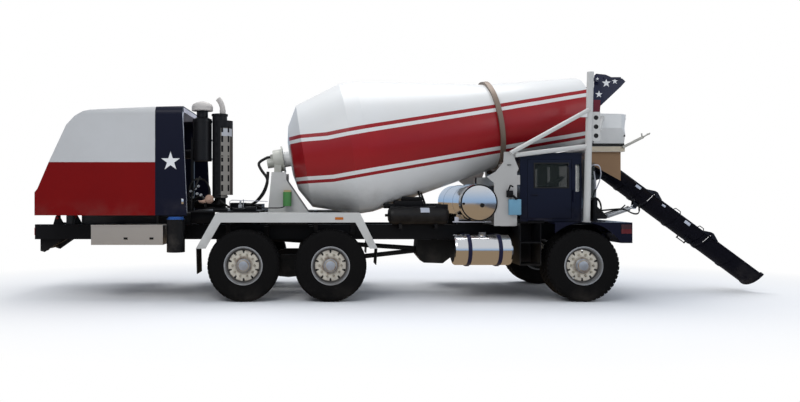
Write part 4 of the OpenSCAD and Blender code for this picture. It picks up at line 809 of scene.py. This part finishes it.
def wheel_dress(wheel, x, side):
    """The nuts, the hub's cap and the ring of one wheel."""
    place = wheel_frame(x, side)
    nuts, cap, ring = bmesh.new(), bmesh.new(), bmesh.new()
    for i in range(NUTS):
        turn = Matrix.Rotation(math.tau * i / NUTS, 4, "Z")
        spot = place @ turn @ Matrix.Translation((NUT_RING, 0, DISC_Z))
        add_disc(nuts, 0.0205, 0, 0.018, spot, 6)
        round_piece(nuts, NUT_CAP, spot, 12, closed=False)
    round_piece(cap, HUB_CAP, place, 48, closed=False)
    round_piece(ring, RIM_RING, place, 64)
    finished(nuts, "nuts_" + wheel, "nut_steel", "wheel_" + wheel)
    finished(cap, "hub_cap_" + wheel, "cap_steel", "wheel_" + wheel)
    finished(ring, "rim_ring_" + wheel, "ring_silver", "wheel_" + wheel)


for wheel in WHEELS:
    wheel_dress(*wheel)
print("wheels dressed:", len(WHEELS))

# %% [markdown]
# The chute carries pale reflector plates, and lifting loops stand on its first
# folding section. They are thin plates and short bars set square to the slope, so
# they are placed in the chute's own frame: a down the slope, n square to it.

# %% Chute fittings
SLOPE = math.radians(36.4)
LIFT_AT = at(4.750, 0, 1.933)
PLATES = (("chute_main", 0.60, 0.10, 0.045), ("chute_fold", 1.62, 0.11, 0.05), ("chute_fold", 1.13, 0.07, 0.03))
LOOPS = ((1.30, 1.44), (1.80, 1.92))
CHUTE_SIDE, PLATE_N, LOOP_Y, RIM_N, LOOP_N = 0.2795, 0.245, 0.266, 0.298, 0.335


def chute_frame(a, y, n):
    """A frame on the chute: local X down the slope, local Z out of the trough."""
    place = Matrix.Translation(LIFT_AT) @ Matrix.Rotation(SLOPE, 4, "Y")
    return place @ Matrix.Translation((a, y, n))


for i, (body, a, length, height) in enumerate(PLATES):
    plate = bmesh.new()
    for side in BOTH:
        add_box(plate, (-length / 2, -0.003, -height / 2), (length / 2, 0.003, height / 2),
                chute_frame(a, side * CHUTE_SIDE, PLATE_N), bevel=0.002)
    finished(plate, f"chute_plate_{i}", "pale_plate", body)
loops = bmesh.new()
for side in BOTH:
    for a0, a1 in LOOPS:
        path = [chute_frame(a, side * LOOP_Y, n).translation
                for a, n in ((a0, RIM_N), (a0 + 0.02, LOOP_N), (a1 - 0.02, LOOP_N), (a1, RIM_N))]
        for start, end in zip(path, path[1:]):
            add_bar(loops, start, end, 0.007, 8)
finished(loops, "chute_loops", "chute_navy", "chute_fold")
print("chute plates:", len(PLATES))

# %% [markdown]
# Behind the hood stands the engine's breathing gear, and round its feet runs a
# tangle of pipes. The pipes are short lengths bent round smooth corners: a path of
# a few points is rounded, and a small circle is carried along it.

# %% Pipes
CORNER_PIECES, PIPE_SIDES = 4, 10


def rounded_path(points, corner):
    """Points joined by straight runs with rounded corners."""
    points = [Vector(p) for p in points]
    path = [points[0]]
    for before, spot, after in zip(points, points[1:], points[2:]):
        a = spot + (before - spot).normalized() * min(corner, (before - spot).length * 0.45)
        b = spot + (after - spot).normalized() * min(corner, (after - spot).length * 0.45)
        for i in range(CORNER_PIECES + 1):
            t = i / CORNER_PIECES
            path.append(a * (1 - t) ** 2 + spot * 2 * t * (1 - t) + b * t ** 2)
    return path + [points[-1]]


def add_pipe(bm, points, r, corner):
    """A round pipe along a path, closed at both ends."""
    path = rounded_path(points, corner)
    ring = bmesh.ops.create_circle(bm, cap_ends=True, segments=PIPE_SIDES, radius=r,
                                   matrix=along(path[0], path[1]))
    faces = list({f for v in ring["verts"] for f in v.link_faces})
    made = set(ring["verts"])
    turn = (path[1] - path[0]).to_track_quat("Z", "Y")
    last = path[0]
    for i, spot in enumerate(path[1:], 1):
        ahead = path[min(i + 1, len(path) - 1)] - path[i - 1]
        aim = ahead.to_track_quat("Z", "Y") if ahead.length > 1e-6 else turn
        grown = bmesh.ops.extrude_face_region(bm, geom=faces)
        faces = [g for g in grown["geom"] if isinstance(g, bmesh.types.BMFace)]
        verts = [g for g in grown["geom"] if isinstance(g, bmesh.types.BMVert)]
        bend = Matrix.Translation(spot) @ (turn.rotation_difference(aim)).to_matrix().to_4x4()
        bmesh.ops.transform(bm, matrix=bend @ Matrix.Translation(-last), verts=verts)
        made |= set(verts)
        turn, last = aim, spot
    made = [v for v in made if v.is_valid]
    bmesh.ops.recalc_face_normals(bm, faces=list({f for v in made for f in v.link_faces}))


def piping(name, finish, routes, corner, body="chassis"):
    """A piece made of pipes: each its radius, then the stations it passes."""
    bm = bmesh.new()
    for r, route in routes:
        add_pipe(bm, [at(*p) for p in route], r, corner)
    finished(bm, name, finish, body)


print("pipe maker ready")

# %% [markdown]
# The tangle behind the hood: hoses to and from the engine, the turbocharger in its
# tan heat blanket, and the fittings on the deck's valve block. Each row of the table
# is one pipe: its radius, then the places it passes.

# %% Engine pipes
ENGINE_PIPES = (
    (0.018, ((-2.02, -0.86, 1.40), (-2.02, -0.86, 1.78), (-1.95, -0.84, 1.89), (-1.80, -0.84, 1.90),
             (-1.70, -0.84, 1.78), (-1.69, -0.84, 1.50))),
    (0.014, ((-1.98, -0.9, 1.40), (-1.97, -0.9, 1.66), (-1.90, -0.88, 1.80), (-1.86, -0.82, 1.93))),
    (0.022, ((-2.00, -0.7, 1.52), (-1.90, -0.72, 1.62), (-1.80, -0.78, 1.60), (-1.76, -0.84, 1.45))),
    (0.020, ((-1.56, -0.80, 1.60), (-1.50, -0.84, 1.52), (-1.38, -0.86, 1.44), (-1.28, -0.80, 1.41))),
    (0.024, ((-0.80, -0.50, 2.02), (-0.805, -0.52, 1.86), (-0.87, -0.55, 1.69), (-0.97, -0.58, 1.56),
             (-1.09, -0.60, 1.44))),
    (0.010, ((-1.18, -0.45, 1.5), (-1.05, -0.5, 1.5), (-0.9, -0.62, 1.43), (-0.55, -0.62, 1.43),
             (-0.49, -0.6, 1.50))),
    (0.016, ((-2.05, -0.55, 1.45), (-1.75, -0.6, 1.43), (-1.45, -0.62, 1.43), (-1.40, -0.42, 1.43))),
)
TURBO = ((0, -0.03), (0.045, -0.03), (0.068, -0.012), (0.07, 0.012), (0.05, 0.035), (0.028, 0.04),
         (0.024, 0.062), (0, 0.064))
piping("engine_pipes", "black_rubber", ENGINE_PIPES, 0.09)
turbo = bmesh.new()
round_piece(turbo, TURBO, facing_right(-1.70, -0.86, 1.575), 28, closed=False)
add_pipe(turbo, [at(-1.76, -0.86, 1.545), at(-1.81, -0.86, 1.53), at(-1.87, -0.84, 1.535)], 0.028, 0.06)
finished(turbo, "turbocharger", "heat_blanket")
print("engine pipes:", len(ENGINE_PIPES))

# %% [markdown]
# The open end of the hood is edged with a pale strip, bright where it catches the
# sky. It is a flat arch inside the hood's rim: a leg down the right side, the top,
# and a short leg that ends over the left side's air outlet. It is cut as a flat
# plate, then leaned like the hood's edge. A small chromed catch sits low on each
# side near that edge.

# %% Hood edge
paint("edge_grey", (0.55, 0.55, 0.6), 0.3, 0.3)
EDGE_ARCH = ((1.084, 1.36), (1.084, 2.86), (1.05, 2.95), (0.97, 3.0))
LEFT_FOOT_Z = 2.31
ACROSS = Matrix(((0, 0, 1, 0), (1, 0, 0, 0), (0, 1, 0, 0), (0, 0, 0, 1)))


def arch(inset):
    """The edge's outline across the hood, moved inwards, its left leg short."""
    half = [(y - inset, z - (inset if z > 2 else 0)) for y, z in EDGE_ARCH]
    return [(-y, z) for y, z in half] + [(y, max(z, LEFT_FOOT_Z)) for y, z in reversed(half)]


def front_edge_x(z):
    """The hood's front edge leans: its station at height z."""
    return -2.01 - 0.076 * (z - 1.335) / 1.696


edge = bmesh.new()
for vert in add_plate(edge, arch(0.002) + arch(0.05)[::-1], 0.010, ACROSS):
    vert.co.x += front_edge_x(vert.co.z) + DATUM - 0.012
finished(edge, "hood_edge_strip", "edge_grey", "hood")
fitting("hood_catches", "bright_metal", body="hood", boxes=[
    ((-2.09, side * 1.109 - 0.009, 1.50), (-2.055, side * 1.109 + 0.009, 1.58), 0.004) for side in BOTH])
print("hood edge and catches placed")

# %% [markdown]
# On the deck, between the silencer and the drum's drive, lie the oil lines' valves:
# two low black blocks with a grey casting and its hand lever, and a thin pale rod
# runs over them to the drive. More fittings crowd the engine's flank.

# %% Deck fittings
FLANK_FITTINGS = ((-2.0, 1.70), (-1.93, 1.74), (-1.90, 1.66), (-1.98, 1.60), (-1.84, 1.64), (-1.88, 1.78))
fitting("deck_valves", "black_steel", boxes=[
    ((-1.32, -0.98, 1.392), (-1.13, -0.74, 1.432), 0.006),
    ((-1.12, -0.96, 1.392), (-0.96, -0.70, 1.455), 0.006),
    ((-1.62, -1.02, 1.392), (-1.40, -0.90, 1.425), 0.006),
    ((-1.25, -0.90, 1.43), (-1.20, -0.84, 1.475), 0.006),
    ((-2.01, -0.80, 1.19), (-1.62, -0.78, 1.368), 0.003)])
liner = bmesh.new()
round_piece(liner, [(0.122, 1.67), (0.139, 1.67), (0.139, 2.79), (0.122, 2.79)],
            Matrix.Translation(at(-1.492, -0.75, 0)), 40)
finished(liner, "silencer_liner", "black_steel")
castings = bmesh.new()
add_box(castings, at(-1.235, -0.95, 1.43), at(-1.175, -0.89, 1.49), bevel=0.012)
add_bar(castings, at(-1.205, -0.93, 1.47), at(-1.195, -0.95, 1.545), 0.016)
add_bar(castings, at(-1.158, -0.93, 1.44), at(-1.15, -0.95, 1.57), 0.007)
for x, z in FLANK_FITTINGS:
    add_disc(castings, 0.022, 0, 0.05, facing_right(x, -0.80, z), 6)
    add_disc(castings, 0.014, 0.05, 0.085, facing_right(x, -0.80, z), 12)
finished(castings, "deck_castings", "deck_grey")
piping("deck_rod", "edge_grey",
       [(0.006, ((-1.40, -0.72, 1.45), (-1.40, -0.72, 1.56), (-0.80, -0.60, 1.535)))], 0.06)
print("deck fittings placed")

# %% [markdown]
# The tanks' trim: the water tank's end is closed by a dished polished disc in a dark
# band, in which sky and ground show. A pale rail runs under it, the air tank carries
# a bare plate, and black covers sit over the valve bank behind it. The dish is a
# parabola spun round the tank's axis.

# %% Tank trim
paint("mirror_disc", CHROME[0], CHROME[2], 0.0, metal=1.0, top=0.1)
END_Y = -1.0505
DISH_R, DISH_RISE, DISH_STEPS = 0.268, 0.028, 12
PLUGS = ((2.56, 1.48, 0.034), (2.275, 1.505, 0.018))
tank_end = facing_right(2.52, END_Y, 1.52)
mirror, band, plugs = bmesh.new(), bmesh.new(), bmesh.new()
steps = [k / DISH_STEPS for k in range(DISH_STEPS + 1)]
dish = [(DISH_R * k, 0.010 + DISH_RISE * (1 - k ** 2)) for k in steps]
round_piece(mirror, [(0, 0.001), (DISH_R, 0.001)] + dish[::-1], tank_end, 72, closed=False)
round_piece(band, [(DISH_R, 0.0), (0.287, 0.0), (0.287, 0.008), (DISH_R, 0.014)], tank_end, 72)
for x, z, r in PLUGS:
    add_disc(plugs, r, 0.012, 0.043, facing_right(x, END_Y, z), 20)
finished(mirror, "tank_mirror", "mirror_disc")
finished(band, "tank_band", "cast_dark")
finished(plugs, "tank_plugs", "cast_dark")
fitting("tank_rail", "edge_grey", boxes=[
    ((2.17, -0.80, 1.203), (2.78, -0.74, 1.221), 0.003), ((2.20, -0.80, 1.22), (2.26, -0.75, 1.29), 0.006)])
fitting("valve_covers", "black_steel", boxes=[
    ((1.27, -0.48, 1.43), (1.75, -0.33, 1.545), 0.012), ((1.40, -0.46, 1.54), (1.74, -0.34, 1.61), 0.012),
    ((1.76, -0.46, 1.40), (2.05, -0.34, 1.50), 0.012), ((1.10, -0.50, 1.42), (1.28, -0.36, 1.50), 0.012),
    ((3.10, -0.97, 1.19), (3.34, -0.40, 1.262), 0.012), ((1.93, -0.66, 1.27), (2.12, -0.62, 1.49), 0.012)],
    bars=[((1.72, -0.40, 1.56), (1.66, -0.40, 1.76), 0.017), ((1.80, -0.40, 1.46), (1.72, -0.40, 1.68), 0.017)])
plate = bmesh.new()
tilt = Matrix.Translation(at(1.741, -0.6965, 1.3965)) @ Matrix.Rotation(math.radians(-34.5), 4, "X")
add_box(plate, (-0.072, -0.003, -0.045), (0.072, 0.003, 0.045), tilt, bevel=0.002)
finished(plate, "tank_plate", "pale_plate")
print("tank trim placed")

# %% [markdown]
# Under the door a black sill closes the gap to the steps, and a splash plate stands
# behind the steps, so that nothing bright shows through from the far side. The
# toolbox under the hood has two small latches.

# %% Cab sill and toolbox latches
fitting("cab_sill", "black_steel", boxes=[
    ((3.30, -0.985, 1.195), (3.56, -0.93, 1.245), 0.003), ((3.24, -0.64, 0.56), (3.49, -0.628, 1.19), 0.003)])
fitting("toolbox_latches", "cast_dark", boxes=[
    ((x, -1.108, 0.952), (x + 0.06, -1.098, 0.985), 0.003) for x in (-2.985, -2.585)])
print("cab sill and toolbox latches placed")

# %% [markdown]
# On the front pedestal hangs the water system's hand valve: black levers over a
# light blue box, with a slot in the plate above them.

# %% Water valve
paint("valve_blue", (0.13, 0.3, 0.42), 0.45, 0.1)
LEVER_Y = -1.12
fitting("water_valve", "black_steel", boxes=[
    ((2.94, -1.10, 1.60), (3.04, -1.05, 1.71), 0.01), ((2.955, -1.07, 2.10), (3.015, -1.056, 2.112), 0.002)],
    bars=[((2.96, -1.10, 1.70), (2.985, LEVER_Y, 1.79), 0.012),
          ((3.02, -1.10, 1.64), (3.085, LEVER_Y, 1.575), 0.018),
          ((2.985, LEVER_Y, 1.79), (3.03, LEVER_Y, 1.765), 0.012)])
fitting("water_valve_case", "valve_blue", boxes=[
    ((2.97, -1.11, 1.33), (3.16, -1.05, 1.575), 0.012)])
print("water valve placed")

# %% [markdown]
# Between the posts hang the discharge parts' small fittings. The gussets' holes are
# plugged with black rubber, the hopper's collar wears a dark seal over a cream
# ring, a black latch closes its front, and a bare lever sticks out ahead. Small
# corner plates stiffen the upper braces where they reach the posts.

# %% Hopper fittings
GUSSET_HOLES_Z = (2.56, 2.70, 2.84)
COLLAR_X, COLLAR_Y = (4.53, 5.115), 0.33
BRACE_CORNER = ((4.04, 2.845), (4.185, 2.845), (4.185, 2.97), (4.15, 2.965), (4.04, 2.90))


def collar_band(name, finish, out, z0, z1):
    """A band round the hopper's square collar, standing out by a few millimetres."""
    (inner0, inner1), x0, x1, y = COLLAR_X, COLLAR_X[0] - out, COLLAR_X[1] + out, COLLAR_Y + out
    fitting(name, finish, boxes=[
        ((x0, -y, z0), (x1, -COLLAR_Y, z1), 0), ((x0, COLLAR_Y, z0), (x1, y, z1), 0),
        ((inner1, -COLLAR_Y, z0), (x1, COLLAR_Y, z1), 0), ((x0, -COLLAR_Y, z0), (inner0, COLLAR_Y, z1), 0)])


plugs, latch, corner = bmesh.new(), bmesh.new(), bmesh.new()
for side in BOTH:
    for z in GUSSET_HOLES_Z:
        add_disc(plugs, 0.0365, -0.006, 0.006, facing_right(4.335, side * 1.05, z), 28)
    lean = Matrix.Translation(at(5.078, side * 0.40, 2.655)) @ Matrix.Rotation(math.radians(-11), 4, "Y")
    add_box(latch, (-0.016, -0.024, -0.052), (0.008, 0.024, 0.052), lean, bevel=0.004)
    add_plate(corner, BRACE_CORNER, 0.012, facing_right(0, side * 1.092 + 0.006, 0))
finished(plugs, "gusset_plugs", "black_rubber")
collar_band("hopper_seal", "black_rubber", 0.004, 2.45, 2.498)
collar_band("hopper_ring", "collar_cream", 0.009, 2.363, 2.446)
finished(latch, "hopper_latches", "black_steel")
fitting("hopper_lever", "lever_grey", bars=[
    ((5.08, -0.352, 2.43), (5.42, -0.36, 2.606), 0.023, 16),
    ((5.42, -0.36, 2.606), (5.53, -0.36, 2.665), 0.012),
    ((5.40, -0.36, 2.60), (5.392, -0.36, 2.665), 0.011),
    ((5.50, -0.385, 2.650), (5.50, -0.335, 2.650), 0.014)])
finished(corner, "brace_corners", "white_paint", smooth=0)
print("hopper fittings placed")

# %% [markdown]
# The chute's oil lines: two pale tubes arch down from its head, and black hoses
# loop below them to the lift cylinder. They turn with the chute.

# %% Chute hoses
CHUTE_TUBES = (
    (0.012, ((4.56, -0.31, 2.10), (4.60, -0.315, 2.145), (4.715, -0.32, 2.14), (4.74, -0.32, 2.0),
             (4.715, -0.31, 1.86), (4.66, -0.30, 1.73))),
    (0.012, ((4.62, -0.31, 2.04), (4.635, -0.31, 1.92), (4.655, -0.30, 1.80), (4.645, -0.30, 1.73))),
)
CHUTE_HOSES = (
    (0.017, ((4.655, -0.30, 1.74), (4.62, -0.30, 1.62), (4.56, -0.30, 1.55), (4.62, -0.31, 1.60),
             (4.70, -0.31, 1.57), (4.745, -0.31, 1.46), (4.74, -0.30, 1.36))),
    (0.014, ((4.74, -0.30, 1.38), (4.95, -0.30, 1.40), (5.13, -0.29, 1.41), (5.30, -0.28, 1.32),
             (5.40, -0.27, 1.33), (5.40, -0.26, 1.45))),
    (0.012, ((4.76, -0.29, 1.31), (4.92, -0.29, 1.37), (5.08, -0.28, 1.40), (5.16, -0.27, 1.47))),
)
piping("chute_tubes", "edge_grey", CHUTE_TUBES, 0.07, "chute_swing")
piping("chute_hoses", "black_rubber", CHUTE_HOSES, 0.08, "chute_swing")
print("chute hoses placed")
